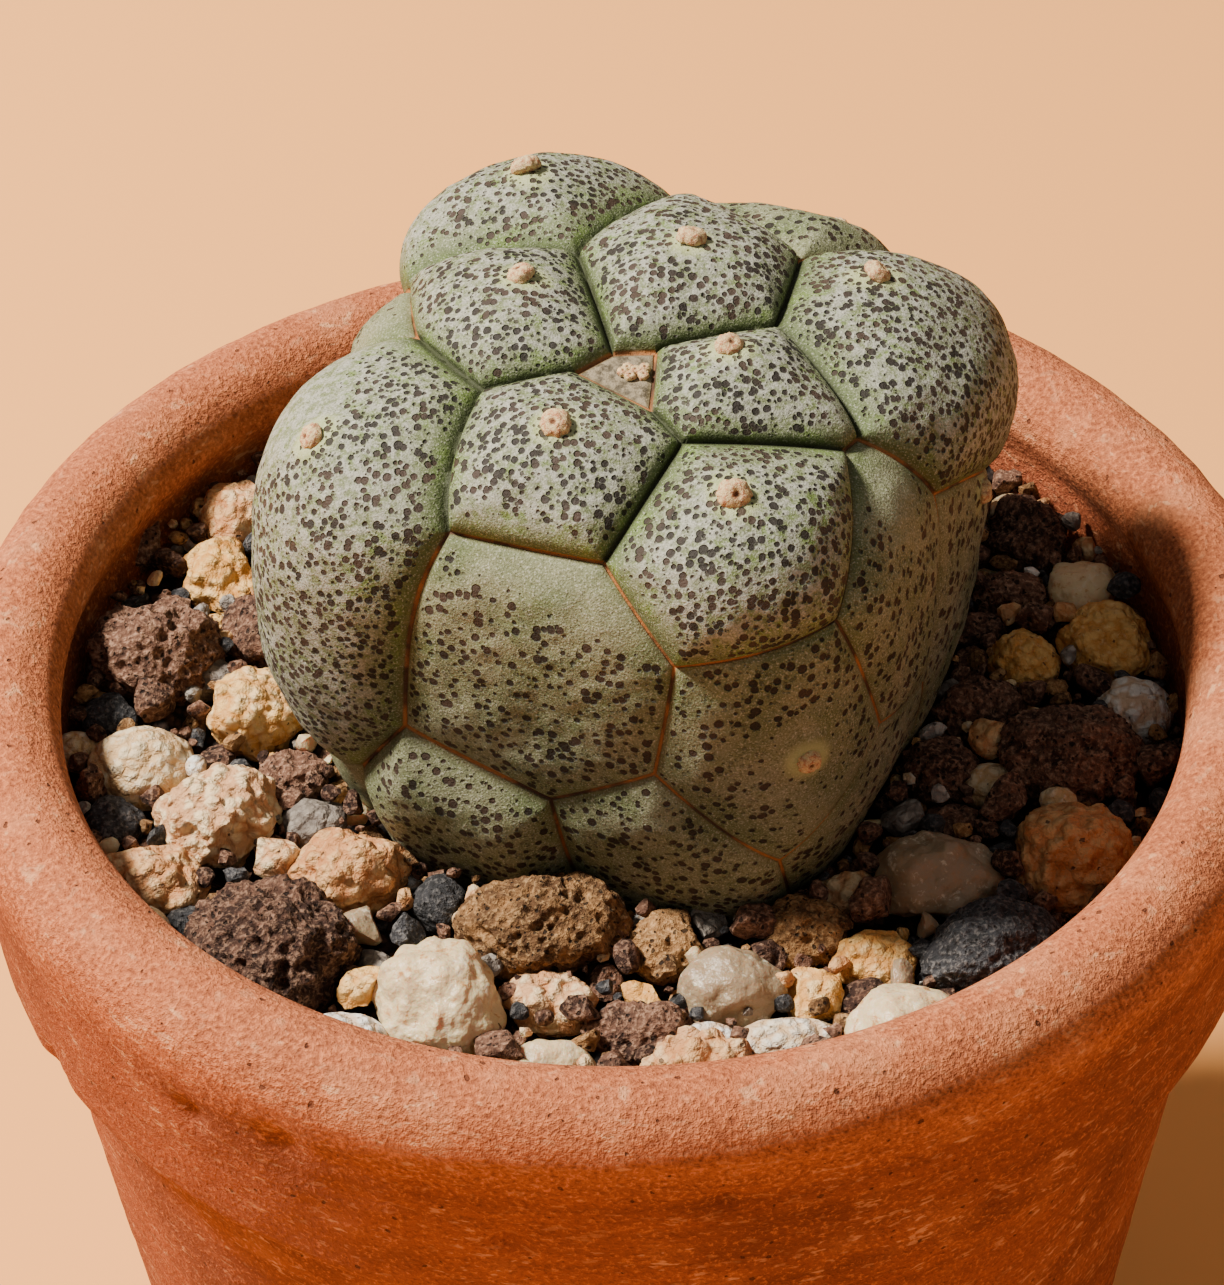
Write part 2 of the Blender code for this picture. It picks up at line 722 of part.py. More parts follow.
def plant_hollow():
    """The plant's foot grown by its clearance, cut off level above the grit."""
    bm = body_mesh(HOLLOW_GAP, seams=False)
    bmesh.ops.bisect_plane(
        bm,
        geom=list(bm.verts) + list(bm.edges) + list(bm.faces),
        plane_co=(0, 0, POT_HEIGHT),
        plane_no=(0, 0, 1),
        clear_outer=True,
    )
    bmesh.ops.holes_fill(bm, edges=[edge for edge in bm.edges if edge.is_boundary])
    bmesh.ops.triangulate(bm, faces=bm.faces)
    hollow = object_from(bm, "plant_hollow")
    thin_out(hollow, HOLLOW_TRIANGLES)
    return as_tool(hollow)


def keep_largest(obj):
    """Drops the loose crumbs that cutting leaves, so that the grit is one body."""
    bm = bmesh.new()
    bm.from_mesh(obj.data)
    waiting = set(bm.verts)
    bodies = []
    while waiting:
        body, edge = set(), {waiting.pop()}
        while edge:
            body |= edge
            edge = {e.other_vert(v) for v in edge for e in v.link_edges} - body
        waiting -= body
        bodies.append(body)
    largest = max(bodies, key=len)
    bmesh.ops.delete(bm, geom=[v for v in bm.verts if v not in largest], context="VERTS")
    bmesh.ops.triangulate(bm, faces=bm.faces)
    bmesh.ops.dissolve_degenerate(bm, dist=SLIVER, edges=bm.edges)
    bm.to_mesh(obj.data)
    bm.free()


def make_soil(stones):
    mix = material("gritty_mix", (0.16, 0.105, 0.075), 0.95)
    soil = turned("soil", grit_profile(), POT_SIDES, mix)
    roughen(soil)
    tools = [crock_recess(), plant_hollow()]
    tools += [stone_socket(stone) for stone in stones]
    apply_boolean(soil, tools, "DIFFERENCE")
    keep_largest(soil)
    shade(soil, 30)
    return soil


def main():
    clear_scene()
    make_pot()
    make_crock()
    make_plant()
    stones = lay_stones()
    make_soil(stones)
    make_stones(stones)


main()
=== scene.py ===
# %% [markdown]
# # A potted pseudolithos
# A pseudolithos is a stem succulent that looks like a pebble: one swollen grey-green body,
# made of cushions and plates that meet in grooves. This one stands in a terracotta pot, in a
# gritty mix that is dressed with lava, quartz and cream-coloured grit. The solids of all the
# pieces come in as a fixed frame, and each cell below dresses one piece with a finer mesh and
# a material. Lengths are in metres, and the photographed side faces -Y.

# %% The fixed frame
import math
import random

import bmesh
import bpy
import numpy as np
from mathutils import Matrix, Vector, noise


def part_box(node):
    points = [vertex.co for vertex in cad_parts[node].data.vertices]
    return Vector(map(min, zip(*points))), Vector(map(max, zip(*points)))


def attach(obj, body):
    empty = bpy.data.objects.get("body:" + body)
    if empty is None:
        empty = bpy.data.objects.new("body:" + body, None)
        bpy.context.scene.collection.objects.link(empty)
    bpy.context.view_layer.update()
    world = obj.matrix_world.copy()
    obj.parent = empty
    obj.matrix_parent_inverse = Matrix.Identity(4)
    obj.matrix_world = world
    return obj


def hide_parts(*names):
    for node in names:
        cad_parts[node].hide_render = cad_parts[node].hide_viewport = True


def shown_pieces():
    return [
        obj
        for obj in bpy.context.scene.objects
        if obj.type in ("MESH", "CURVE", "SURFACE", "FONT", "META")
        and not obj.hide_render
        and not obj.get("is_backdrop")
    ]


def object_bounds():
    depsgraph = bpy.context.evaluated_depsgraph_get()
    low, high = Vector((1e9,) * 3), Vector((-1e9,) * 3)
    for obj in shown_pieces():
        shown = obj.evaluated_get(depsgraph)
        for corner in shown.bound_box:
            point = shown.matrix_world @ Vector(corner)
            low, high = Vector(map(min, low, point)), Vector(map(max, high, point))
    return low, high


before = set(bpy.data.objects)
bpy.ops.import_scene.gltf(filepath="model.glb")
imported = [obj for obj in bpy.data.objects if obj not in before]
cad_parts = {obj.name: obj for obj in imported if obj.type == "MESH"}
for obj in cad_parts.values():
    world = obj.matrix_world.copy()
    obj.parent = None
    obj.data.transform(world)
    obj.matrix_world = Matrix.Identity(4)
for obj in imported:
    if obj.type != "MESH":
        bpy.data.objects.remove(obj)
cad_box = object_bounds()
MM = 0.001
TOUCHING = 0.000001  # points this near to each other are one
print(len(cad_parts), "solids, from", cad_box[0][:], "to", cad_box[1][:])

# %% [markdown]
# ## The camera
# The photograph looks down at the pot from about 41 degrees, from close by. A long lens keeps
# the rim's ellipse flat, as it is there. The camera is built from its own three axes, because
# that gives the slight roll of a hand-held shot exactly.

# %% Camera
VIEW_ELEVATION = math.radians(41.16)
VIEW_ROLL = math.radians(-1.17)
VIEW_DISTANCE = 0.3375
LENS = 120.0
SENSOR_WIDTH = 36.0

forward = Vector((0, math.cos(VIEW_ELEVATION), -math.sin(VIEW_ELEVATION)))
rightward = Vector((1, 0, 0))
upward = rightward.cross(forward)
aim = Vector((-0.0008, -0.0019, 0.0973))

camera = bpy.data.objects.new("camera", bpy.data.cameras.new("camera"))
camera.data.lens = LENS
camera.data.sensor_width = SENSOR_WIDTH
turn = Matrix((rightward, upward, -forward)).transposed() @ Matrix.Rotation(VIEW_ROLL, 3, "Z")
camera.matrix_world = Matrix.Translation(aim - forward * VIEW_DISTANCE) @ turn.to_4x4()
bpy.context.scene.collection.objects.link(camera)
bpy.context.scene.camera = camera
print("camera at", [round(c, 4) for c in camera.matrix_world.translation])

# %% [markdown]
# ## The light
# A soft box stands high on the left, like the sun through a thin curtain. It lights the left
# faces and the inner right wall, leaves the front of the pot in shade, and rakes across the
# skin and the stones so that every pit shows. A weak second box and a warm world, which
# stands for light off a sandy ground, keep the shadows open.

# %% Lights and world
LIGHT_BEARING = math.radians(170)
LIGHT_ELEVATION = math.radians(56)
LIT_POINT = Vector((0, 0, 0.09))


def softbox(name, place, size, power, colour):
    """Adds an area light at a place, turned towards the plant."""
    light = bpy.data.lights.new(name, "AREA")
    light.size = size
    light.energy = power
    light.color = colour
    lamp = bpy.data.objects.new(name, light)
    lamp.location = place
    lamp.rotation_euler = (LIT_POINT - lamp.location).to_track_quat("-Z", "Y").to_euler()
    bpy.context.scene.collection.objects.link(lamp)


level = math.cos(LIGHT_ELEVATION)
window = Vector(
    (level * math.cos(LIGHT_BEARING), level * math.sin(LIGHT_BEARING), math.sin(LIGHT_ELEVATION))
)
softbox("window", window, 0.13, 27.5, (1.0, 0.93, 0.83))
softbox("fill", Vector((0.35, -0.80, 0.60)), 0.8, 0.35, (1.0, 0.92, 0.84))

world = bpy.data.worlds.new("sandy_room")
world.use_nodes = True
sky = world.node_tree.nodes["Background"].inputs
sky["Color"].default_value = (1.0, 0.94, 0.90, 1.0)
sky["Strength"].default_value = 0.25
bpy.context.scene.world = world
print("two soft boxes and a warm world")

# %% [markdown]
# ## Tools for materials
# Every finish here is procedural: colours, pores and grain come from noise, in millimetres on
# the object itself. Wiring Math nodes by hand is hard to read, so a small class wraps a socket
# and lets Python's own operators add them. `Paint` holds one material's nodes, and its method
# `node` makes any other kind.

# %% Signals and paint
class Signal:
    """A value that changes over a surface. Python's operators on it add Math nodes."""

    def __init__(self, paint, socket):
        self.paint = paint
        self.socket = socket

    def math(self, operation, *values):
        inputs = dict(enumerate(values))
        return self.paint.node("ShaderNodeMath", {"operation": operation}, inputs)

    def __add__(self, other):
        return self.math("ADD", self, other)

    def __radd__(self, other):
        return self.math("ADD", other, self)

    def __sub__(self, other):
        return self.math("SUBTRACT", self, other)

    def __rsub__(self, other):
        return self.math("SUBTRACT", other, self)

    def __mul__(self, other):
        return self.math("MULTIPLY", self, other)

    def __rmul__(self, other):
        return self.math("MULTIPLY", other, self)

    def __truediv__(self, other):
        return self.math("DIVIDE", self, other)

    def rise(self, low, high):
        """A smooth step from 0 at low to 1 at high. It falls where low is the larger."""
        limits = {"Value": self, "From Min": low, "From Max": high}
        smooth = {"interpolation_type": "SMOOTHSTEP"}
        return self.paint.node("ShaderNodeMapRange", smooth, limits)


class Paint:
    """One material. Its place is the point on the object, in millimetres."""

    def __init__(self, name, **constants):
        self.material = bpy.data.materials.new(name)
        self.material.use_nodes = True
        self.tree = self.material.node_tree
        self.shader = self.tree.nodes["Principled BSDF"]
        for socket, value in constants.items():
            self.shader.inputs[socket.replace("_", " ")].default_value = value
        point = self.node("ShaderNodeTexCoord", output="Object")
        self.place = self.node(
            "ShaderNodeVectorMath", {"operation": "SCALE"}, {0: point, "Scale": 1 / MM}
        )

    def node(self, kind, settings=None, inputs=None, output=0):
        """Any node: its settings first, then the values or links of its sockets."""
        made = self.tree.nodes.new(kind)
        for name, value in (settings or {}).items():
            setattr(made, name, value)
        for name, value in (inputs or {}).items():
            self.feed(made.inputs[name], value)
        return Signal(self, made.outputs[output])

    def feed(self, socket, value):
        if isinstance(value, Signal):
            self.tree.links.new(value.socket, socket)
        else:
            socket.default_value = value

    def noise(self, size, detail=2.0, rough=0.5, at=None, output=0):
        """Soft noise whose lumps are about size millimetres wide."""
        inputs = {"Vector": at or self.place, "Scale": 1 / size}
        inputs.update({"Detail": detail, "Roughness": rough})
        return self.node("ShaderNodeTexNoise", None, inputs, output)

    def cells(self, size, at=None):
        """Distance to the nearest of points that are scattered about size millimetres apart."""
        inputs = {"Vector": at or self.place, "Scale": 1 / size}
        return self.node("ShaderNodeTexVoronoi", None, inputs, "Distance")

    def cells_and_chance(self, size, at, axis=0):
        """The same, with a number from 0 to 1 that belongs to the nearest point."""
        far = self.cells(size, at)
        colour = Signal(self, far.socket.node.outputs["Color"])
        return far, self.part(colour, axis)

    def warped(self, size, amount, at=None):
        """The place, moved about by noise of that size."""
        shift = self.noise(size, at=at, output="Color")
        centred = {0: shift, 1: (0.5, 0.5, 0.5)}
        shift = self.node("ShaderNodeVectorMath", {"operation": "SUBTRACT"}, centred)
        inputs = {0: shift, 1: (amount, amount, amount), 2: at or self.place}
        return self.node("ShaderNodeVectorMath", {"operation": "MULTIPLY_ADD"}, inputs)

    def stretched(self, x, y, z):
        """The place with each axis scaled, for grain that runs along a piece."""
        inputs = {0: self.place, 1: (x, y, z)}
        return self.node("ShaderNodeVectorMath", {"operation": "MULTIPLY"}, inputs)

    def part(self, vector, axis):
        """One of a vector's three numbers."""
        return self.node("ShaderNodeSeparateXYZ", None, {0: vector}, axis)

    def attribute(self, name):
        """A number that the mesh carries on its points."""
        return self.node("ShaderNodeAttribute", {"attribute_name": name}, output="Fac")

    def mix(self, first, second, share):
        """Goes from the first colour to the second."""
        inputs = {0: share, 6: first, 7: second}
        return self.node("ShaderNodeMix", {"data_type": "RGBA"}, inputs, 2)

    def finish(self, colour, roughness, height):
        """Feeds the shader, with height in millimetres."""
        bump = {"Height": height, "Distance": MM, "Strength": 1.0}
        self.feed(self.shader.inputs["Base Color"], colour)
        self.feed(self.shader.inputs["Roughness"], roughness)
        self.feed(self.shader.inputs["Normal"], self.node("ShaderNodeBump", None, bump))
        print("material", self.material.name, "with", len(self.tree.nodes), "nodes")
        return self.material


def rgb(red, green, blue):
    """A screen colour, 0 to 255, as the linear colour that a shader takes."""
    parts = [c / 255 for c in (red, green, blue)]
    return (*[c / 12.92 if c <= 0.04045 else ((c + 0.055) / 1.055) ** 2.4 for c in parts], 1.0)


# %% [markdown]
# ## A helper for pieces
# Each finished mesh becomes an object at the origin, rides on the pot, and hides the solids that
# it stands for.

# %% Pieces
def piece(name, bm, material, slot, *nodes):
    """Turns a bmesh into a shown piece, which stands for those solids if any are named."""
    mesh = bpy.data.meshes.new(name)
    bm.to_mesh(mesh)
    bm.free()
    mesh.shade_smooth()
    mesh.materials.append(material)
    obj = bpy.data.objects.new(name, mesh)
    bpy.context.scene.collection.objects.link(obj)
    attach(obj, "root")
    if nodes:
        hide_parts(*nodes)
    return obj


def write_attribute(bm, name, values):
    """Keeps one number for each vertex, which a material can read by its name."""
    layer = bm.verts.layers.float.new(name)
    for vert, value in zip(bm.verts, values):
        vert[layer] = float(value)


# %% [markdown]
# ## The plant's form
# The body is a rounded cube that is divided into tubercles. The young ones on the crown are
# swollen cushions with deep grooves between them, and the old ones on the sides are nearly
# flat plates. A tubercle is the set of directions that lie nearest to its own middle, with a
# handicap for its size, so each seam is a plane through the unit sphere. That lets a bisect
# cut the sphere's faces exactly along every seam before anything is swollen, and the grooves
# come out crisp where a noise or a sculpted dent would be ragged.

# %% Tubercles
CENTRE = Vector((0.002, 0.004, 0.106))
# How wide the slope up from a seam is, in radians, and how high the roll beside it, in metres
CUSHION = (0.32, 0.0007)
PLATE = (0.15, 0.0001)
TUBERCLES = [
    # name, bearing and tilt in degrees, reach, the dome's height in metres, and its kind
    ("growing_tip", -74, 16, -0.09, 0.0002, PLATE),
    ("young_front", -110, 41, -0.07, 0.0030, CUSHION),
    ("young_right", -40, 25, -0.05, 0.0030, CUSHION),
    ("young_back", 81, 26, 0.07, 0.0030, CUSHION),
    ("young_left", 137, 31, 0.04, 0.0030, CUSHION),
    ("crown_front", -70, 62, -0.04, 0.0034, CUSHION),
    ("crown_right", 12, 66, 0.08, 0.0026, CUSHION),
    ("crown_back", 114, 46, 0.04, 0.0044, CUSHION),
    ("crown_left", -172, 81, 0.11, 0.0026, CUSHION),
    ("side_front", -109, 87, -0.01, 0.0007, PLATE),
    ("side_right", -42, 84, 0.0, 0.0007, PLATE),
    ("side_back", 50, 68, 0.03, 0.0026, PLATE),
    ("side_left", 171, 75, 0.03, 0.0012, PLATE),
    ("old_front", -66, 93, 0.0, 0.0007, PLATE),
    ("old_right", -4, 88, 0.02, 0.0005, PLATE),
    ("old_back", 112, 88, 0.0, 0.0008, PLATE),
    ("foot_front", -88, 115, -0.05, 0.0011, PLATE),
    ("foot_front_left", -121, 119, -0.08, 0.0028, PLATE),
    ("foot_front_right", -53, 106, -0.04, 0.0, PLATE),
    ("foot_right", 18, 112, -0.02, 0.0007, PLATE),
    ("foot_back_right", 62, 106, 0.0, 0.0008, PLATE),
    ("foot_back", 96, 122, -0.05, 0.0008, PLATE),
    ("foot_back_left", 148, 108, 0.0, 0.0008, PLATE),
    ("foot_left", -178, 118, -0.05, 0.0008, PLATE),
]


def direction(bearing, tilt):
    """A unit vector from a bearing about Z and a tilt from Z, in degrees."""
    b, t = math.radians(bearing), math.radians(tilt)
    return np.array((math.sin(t) * math.cos(b), math.sin(t) * math.sin(b), math.cos(t)))


MIDDLES = np.array([direction(row[1], row[2]) for row in TUBERCLES])
REACHES = np.array([row[3] for row in TUBERCLES])
SWELLS = np.array([row[4] for row in TUBERCLES])
DOME_WIDTHS = np.array([row[5][0] for row in TUBERCLES])
ROLLS = np.array([row[5][1] for row in TUBERCLES])
OLD = np.array([row[5] == PLATE for row in TUBERCLES]).astype(float)
print(len(TUBERCLES), "tubercles")

# %% The rounded cube and its relief
CORNER_BEARING = 23.0
FACE_RADIUS, FACE_POWER = 0.0243, 3.7
TOP_REACH, TOP_POWER = 0.017, 3.3
BOTTOM_REACH, BOTTOM_POWER = 0.035, 2.3
ROOT_LENGTH, ROOT_SPREAD = 0.014, 16.0
RELIEF_FADE = (0.076, 0.084)
DOME_POWER = 2.0
ROLL_WIDTH, ROLL_POWER = 0.045, 2.4
RIDGE_POWER = 6
SEAM_SEARCH = 0.05


def cube_radius(ways):
    """Distance from the centre to the smooth rounded cube, in each direction."""
    level = np.hypot(ways[:, 0], ways[:, 1])
    bearing = np.arctan2(ways[:, 1], ways[:, 0]) - math.radians(CORNER_BEARING) + math.pi / 4
    across = np.abs(np.cos(bearing)) ** FACE_POWER + np.abs(np.sin(bearing)) ** FACE_POWER
    face = FACE_RADIUS * across ** (-1 / FACE_POWER)
    up = ways[:, 2] > 0
    reach = np.where(up, TOP_REACH, BOTTOM_REACH)
    power = np.where(up, TOP_POWER, BOTTOM_POWER)
    return ((level / face) ** power + (np.abs(ways[:, 2]) / reach) ** power) ** (-1 / power)


def seam_distances(ways):
    """Each direction's tubercle, and the angle from there to the seam with every other one."""
    claims = ways @ MIDDLES.T + REACHES
    owner = claims.argmax(axis=1)
    apart = np.linalg.norm(MIDDLES[owner][:, None, :] - MIDDLES[None, :, :], axis=2)
    away = (claims.max(axis=1)[:, None] - claims) / np.maximum(apart, 1e-6)
    away[np.arange(len(ways)), owner] = math.pi
    return owner, np.maximum(away, 1e-6)


def rise_from(distance, width, power):
    """0 at a seam and 1 from that width on, with a round shoulder."""
    return 1 - (1 - np.clip(distance / width, 0, 1)) ** power


def skin_radius(ways):
    """Distance from the centre to the skin: cube, swollen tubercles and taproot."""
    owner, away = seam_distances(ways)
    near = (away ** -float(RIDGE_POWER)).sum(axis=1) ** (-1 / RIDGE_POWER)
    dome = rise_from(near, DOME_WIDTHS[owner], DOME_POWER)
    roll = rise_from(near, ROLL_WIDTH, ROLL_POWER)
    rise = SWELLS[owner] * dome + ROLLS[owner] * roll
    cube = cube_radius(ways)
    height = CENTRE.z + ways[:, 2] * cube
    fade = np.clip((height - RELIEF_FADE[0]) / (RELIEF_FADE[1] - RELIEF_FADE[0]), 0, 1)
    from_root = np.degrees(np.arccos(np.clip(-ways[:, 2], -1, 1)))
    root = ROOT_LENGTH * np.exp(-((from_root / ROOT_SPREAD) ** 2))
    return cube + rise * fade + root


# %% [markdown]
# ## The plant's mesh
# The sphere is cut along its seams while it is coarse, because that is quick, and then all
# its edges are halved twice. The points on a seam stay on it, so every seam keeps its edges.

# %% Cut the sphere along the seams
RANKS_NEAR = 3  # a seam only cuts faces where both of its tubercles rank this high


def cut_seam(bm, first, second):
    """Splits the faces that the seam between two tubercles crosses, exactly along the seam."""
    normal = MIDDLES[first] - MIDDLES[second]
    offset = REACHES[first] - REACHES[second]
    faces = list(bm.faces)
    corners = np.array([[vert.co[:] for vert in face.verts[:3]] for face in faces])
    spans = corners @ normal + offset
    crossing = (spans.min(axis=1) < 0) & (spans.max(axis=1) > 0)
    claims = corners.mean(axis=1) @ MIDDLES.T + REACHES
    rank = (claims[:, [first, second]].min(axis=1)[:, None] < claims).sum(axis=1)
    crossed = [faces[i] for i in np.flatnonzero(crossing & (rank <= RANKS_NEAR))]
    if not crossed:
        return
    parts = set(crossed)
    for face in crossed:
        parts.update(face.edges)
        parts.update(face.verts)
    bmesh.ops.bisect_plane(
        bm,
        geom=list(parts),
        plane_co=-offset * normal / (normal @ normal),
        plane_no=normal,
        dist=1e-5,
    )
    bmesh.ops.triangulate(bm, faces=bm.faces)


def neighbours(ways):
    """Pairs of tubercles that share a seam, found from the directions next to one."""
    owner, away = seam_distances(ways)
    close = away.min(axis=1) < SEAM_SEARCH
    pairs = zip(owner[close], away[close].argmin(axis=1))
    return sorted({(int(max(pair)), int(min(pair))) for pair in pairs})


def unit_ways(bm):
    points = np.array([vert.co[:] for vert in bm.verts])
    return points / np.linalg.norm(points, axis=1)[:, None]


body = bmesh.new()
bmesh.ops.create_icosphere(body, subdivisions=5, radius=1.0)
for pair in neighbours(unit_ways(body)):
    cut_seam(body, *pair)
for _ in range(2):
    bmesh.ops.subdivide_edges(body, edges=body.edges, cuts=1, use_grid_fill=True)
bmesh.ops.triangulate(body, faces=body.faces)
ways = unit_ways(body)
print("the plant has", len(body.faces), "triangles")

# %% [markdown]
# ## What the skin remembers
# A material can't know where a seam runs, so the mesh carries it: the distance to the nearest
# seam, how far up a cushion a point is, how old the skin is there, and how thickly the dark
# pits stand. The pits thin out towards the seams and leave a few patches quite bare.

# %% Attributes of the skin
BARE_PATCHES = [
    # bearing, tilt and radius in degrees, and how bare
    (-121, 60, 9, 0.9),
    (-109, 62, 9, 0.95),
    (-98, 66, 8, 0.9),
    (-91, 70, 7, 0.8),
    (-38, 54, 10, 1.0),
    (-38, 66, 8, 0.8),
    (-68, 91, 10, 0.8),
    (-62, 107, 14, 0.7),
    (-150, 120, 16, 0.75),
    (-168, 62, 12, 0.9),
    (170, 55, 16, 0.8),
    (136, 60, 12, 0.7),
    (-165, 95, 14, 0.6),
]
NUBS = [
    # bearing, tilt and width of each dry leaf scar
    (-116, 38, 0.0029),
    (-42, 23, 0.0027),
    (62, 22, 0.0029),
    (158, 26, 0.0027),
    (-73, 50, 0.0031),
    (17, 46, 0.0029),
    (114, 49, 0.0031),
    (-159, 60, 0.0026),
    (-67, 94, 0.0024),
    (52, 66, 0.0024),
    (112, 86, 0.0024),
    (-2, 86, 0.0024),
]


def angle_to(ways, bearing, tilt):
    return np.degrees(np.arccos(np.clip(ways @ direction(bearing, tilt), -1, 1)))


CROWN_FROM_SEAM = 0.15  # radians
PITS_FROM_SEAM = 1.3  # millimetres

owner, away = seam_distances(ways)
radius = skin_radius(ways)
nearest = away.min(axis=1)
seam_mm = nearest * radius / MM
crown = np.clip(nearest / CROWN_FROM_SEAM, 0, 1)
old_seam = np.maximum(OLD[owner], OLD[away.argmin(axis=1)])
tip = (owner == 0).astype(float)
pitting = np.clip(seam_mm / PITS_FROM_SEAM, 0, 1) * (1 - tip)
for bearing, tilt, wide, share in BARE_PATCHES:
    pitting = pitting * (1 - share * np.exp(-((angle_to(ways, bearing, tilt) / wide) ** 2)))
from_scar = np.min([angle_to(ways, b, t) for b, t, _ in NUBS], axis=0)
scar_mm = from_scar * math.pi / 180 * radius / MM

for name, values in {
    "seam_mm": seam_mm,
    "crown": crown,
    "old_seam": old_seam,
    "old_skin": OLD[owner],
    "tip": tip,
    "pitting": pitting,
    "scar_mm": scar_mm,
}.items():
    write_attribute(body, name, values)
print("seams, crowns, age and pits written on", len(ways), "points")

# %% [markdown]
# ## Small forms of the skin
# Real skin isn't a formula: the cushions are a little lumpy, the plates have a slight lip
# along their seams, and the skin rises towards each dry leaf scar. These are all moves along
# the direction from the centre, as a sculptor's soft brush would make them.

# %% Swell the sphere into the body
BODY_RADIUS = 26.0  # millimetres, on the whole
SKIN_LUMPS = [
    # height and width in millimetres, and which noise
    (0.26, 4.5, 0.0),
    (0.12, 1.5, 7.0),
    (0.05, 0.8, 3.0),
]
LUMPS_FROM_SEAM = 0.10  # radians
PLATE_LIP = (0.10, 0.6, 0.4)  # height, distance from the seam and width, in millimetres
SCAR_MOUND = (0.40, 2.0)  # height and width in millimetres
SKIN_FADE = (0.080, 0.086)  # heights between which these begin


def noise_on(ways, size, shift):
    """Noise over the skin, with lumps of about that size in millimetres."""
    reach = BODY_RADIUS / size
    return np.array([noise.noise(Vector(way) * reach + Vector((shift,) * 3)) for way in ways])


inside = np.clip(nearest / LUMPS_FROM_SEAM, 0, 1)
lumps = sum(high * MM * noise_on(ways, wide, shift) for high, wide, shift in SKIN_LUMPS)
lip = PLATE_LIP[0] * MM * np.exp(-(((seam_mm - PLATE_LIP[1]) / PLATE_LIP[2]) ** 2)) * OLD[owner]
mound = SCAR_MOUND[0] * MM * np.exp(-((scar_mm / SCAR_MOUND[1]) ** 2))
height = CENTRE.z + ways[:, 2] * radius
above = np.clip((height - SKIN_FADE[0]) / (SKIN_FADE[1] - SKIN_FADE[0]), 0, 1)
radius = radius + (lumps * inside + lip + mound) * above
for vert, way, reach in zip(body.verts, ways, radius):
    vert.co = CENTRE + Vector(way) * float(reach)
bmesh.ops.recalc_face_normals(body, faces=body.faces)
print("the plant's top is at", round(max(vert.co.z for vert in body.verts) / MM, 1), "mm")

# %% [markdown]
# ## The plant's skin
# Close up the skin is an olive green, frosted with grey wax that is thickest on the crowns,
# and full of dark brown pits about half a millimetre wide, which crowd together on the young
# cushions and stand further apart on the old plates. The pits are scattered points: the
# distance to the nearest one, set against a reach that changes from point to point, gives both
# a dark dot and a dent. Old seams dry out to thin brown lines.

# %% Skin material
PIT_EDGE = 0.11  # how soft a pit's edge is, as a share of the pits' distance


def skin_pits(paint, spots, apart, small, large, crowd):
    """Dark dents, that many millimetres apart, whose reach lies between two shares of it."""
    far, chance = paint.cells_and_chance(apart, spots)
    reach = (small + chance * (large - small)) * crowd
    return ((reach - far) / PIT_EDGE).rise(0, 1)


def skin_material():
    paint = Paint("frosted_skin", Specular_IOR_Level=0.3)
    seam = paint.attribute("seam_mm")
    crown = paint.attribute("crown")
    old_skin = paint.attribute("old_skin")
    old_seam = paint.attribute("old_seam")
    scar = paint.attribute("scar_mm")
    tip = paint.attribute("tip")

    drift = paint.noise(4.5, 3)
    patches = paint.noise(2.2, 3)
    wax = paint.noise(0.75, 3, 0.65)
    grain = paint.noise(0.16, 2, 0.6)

    crowd = (paint.attribute("pitting") * (0.75 + patches * 0.6)).rise(0.08, 0.62)
    spots = paint.warped(0.40, 0.16)
    young = skin_pits(paint, spots, 0.74, 0.30, 0.56, crowd) * (1 - old_skin)
    fine = skin_pits(paint, spots, 0.44, 0.10, 0.48, crowd * patches.rise(0.25, 0.50))
    old = skin_pits(paint, spots, 0.88, 0.27, 0.52, crowd) * old_skin
    pit = young.math("MAXIMUM", young, old)
    pit = pit.math("MAXIMUM", pit, fine * (0.85 - old_skin * 0.45))

    # Darker green down the cushions' sides towards the seams: partly the skin's own greener
    # colour, partly painted shade by the grooves.
    green = paint.mix(rgb(80, 94, 52), rgb(106, 114, 78), crown.rise(0.0, 0.45))
    green = paint.mix(green, rgb(100, 122, 54), patches.rise(0.48, 0.68) * 0.75)
    frost = crown.rise(0.10, 0.8) * wax.rise(0.36, 0.62) * (1 - old_skin * 0.5)
    colour = paint.mix(green, rgb(160, 158, 148), frost * 0.85)
    olive = paint.mix(rgb(98, 106, 70), rgb(130, 130, 100), drift.rise(0.35, 0.62))
    colour = paint.mix(colour, olive, old_skin * 0.75)
    colour = paint.mix(colour, rgb(200, 198, 182), grain.rise(0.53, 0.70) * 0.5)
    colour = paint.mix(colour, rgb(58, 64, 38), grain.rise(0.47, 0.32) * 0.55)
    scales = paint.mix(rgb(70, 58, 46), rgb(140, 126, 104), wax.rise(0.38, 0.62))
    colour = paint.mix(colour, scales, tip * 0.9)
    colour = paint.mix(colour, rgb(178, 184, 128), scar.rise(2.4, 1.2) * 0.65)
    shade = paint.mix(rgb(28, 19, 17), rgb(58, 40, 32), drift.rise(0.4, 0.6))
    colour = paint.mix(colour, shade, pit * 0.95)

    # A dark line along the young grooves: painted shade in the crease, partly the skin's own
    # dark green.
    groove = seam.rise(0.50, 0.08) * (1 - old_seam)
    colour = paint.mix(colour, rgb(44, 48, 26), groove * 0.9)
    edge = seam.rise(0.50, 0.15) * old_seam
    colour = paint.mix(colour, rgb(98, 88, 52), edge * 0.4)
    line = seam.rise(0.18, 0.08) * old_seam
    bark = paint.mix(rgb(66, 44, 30), rgb(160, 104, 56), drift.rise(0.38, 0.60))
    colour = paint.mix(colour, bark, line)

    roughness = 0.60 + wax * 0.18
    height = grain * 0.09 + wax * 0.12 - pit * 0.30 - line * 0.08 - groove * 0.05
    return paint.finish(colour, roughness, height)


piece("pseudolithos_body", body, skin_material(), "plant_skin", "plant")

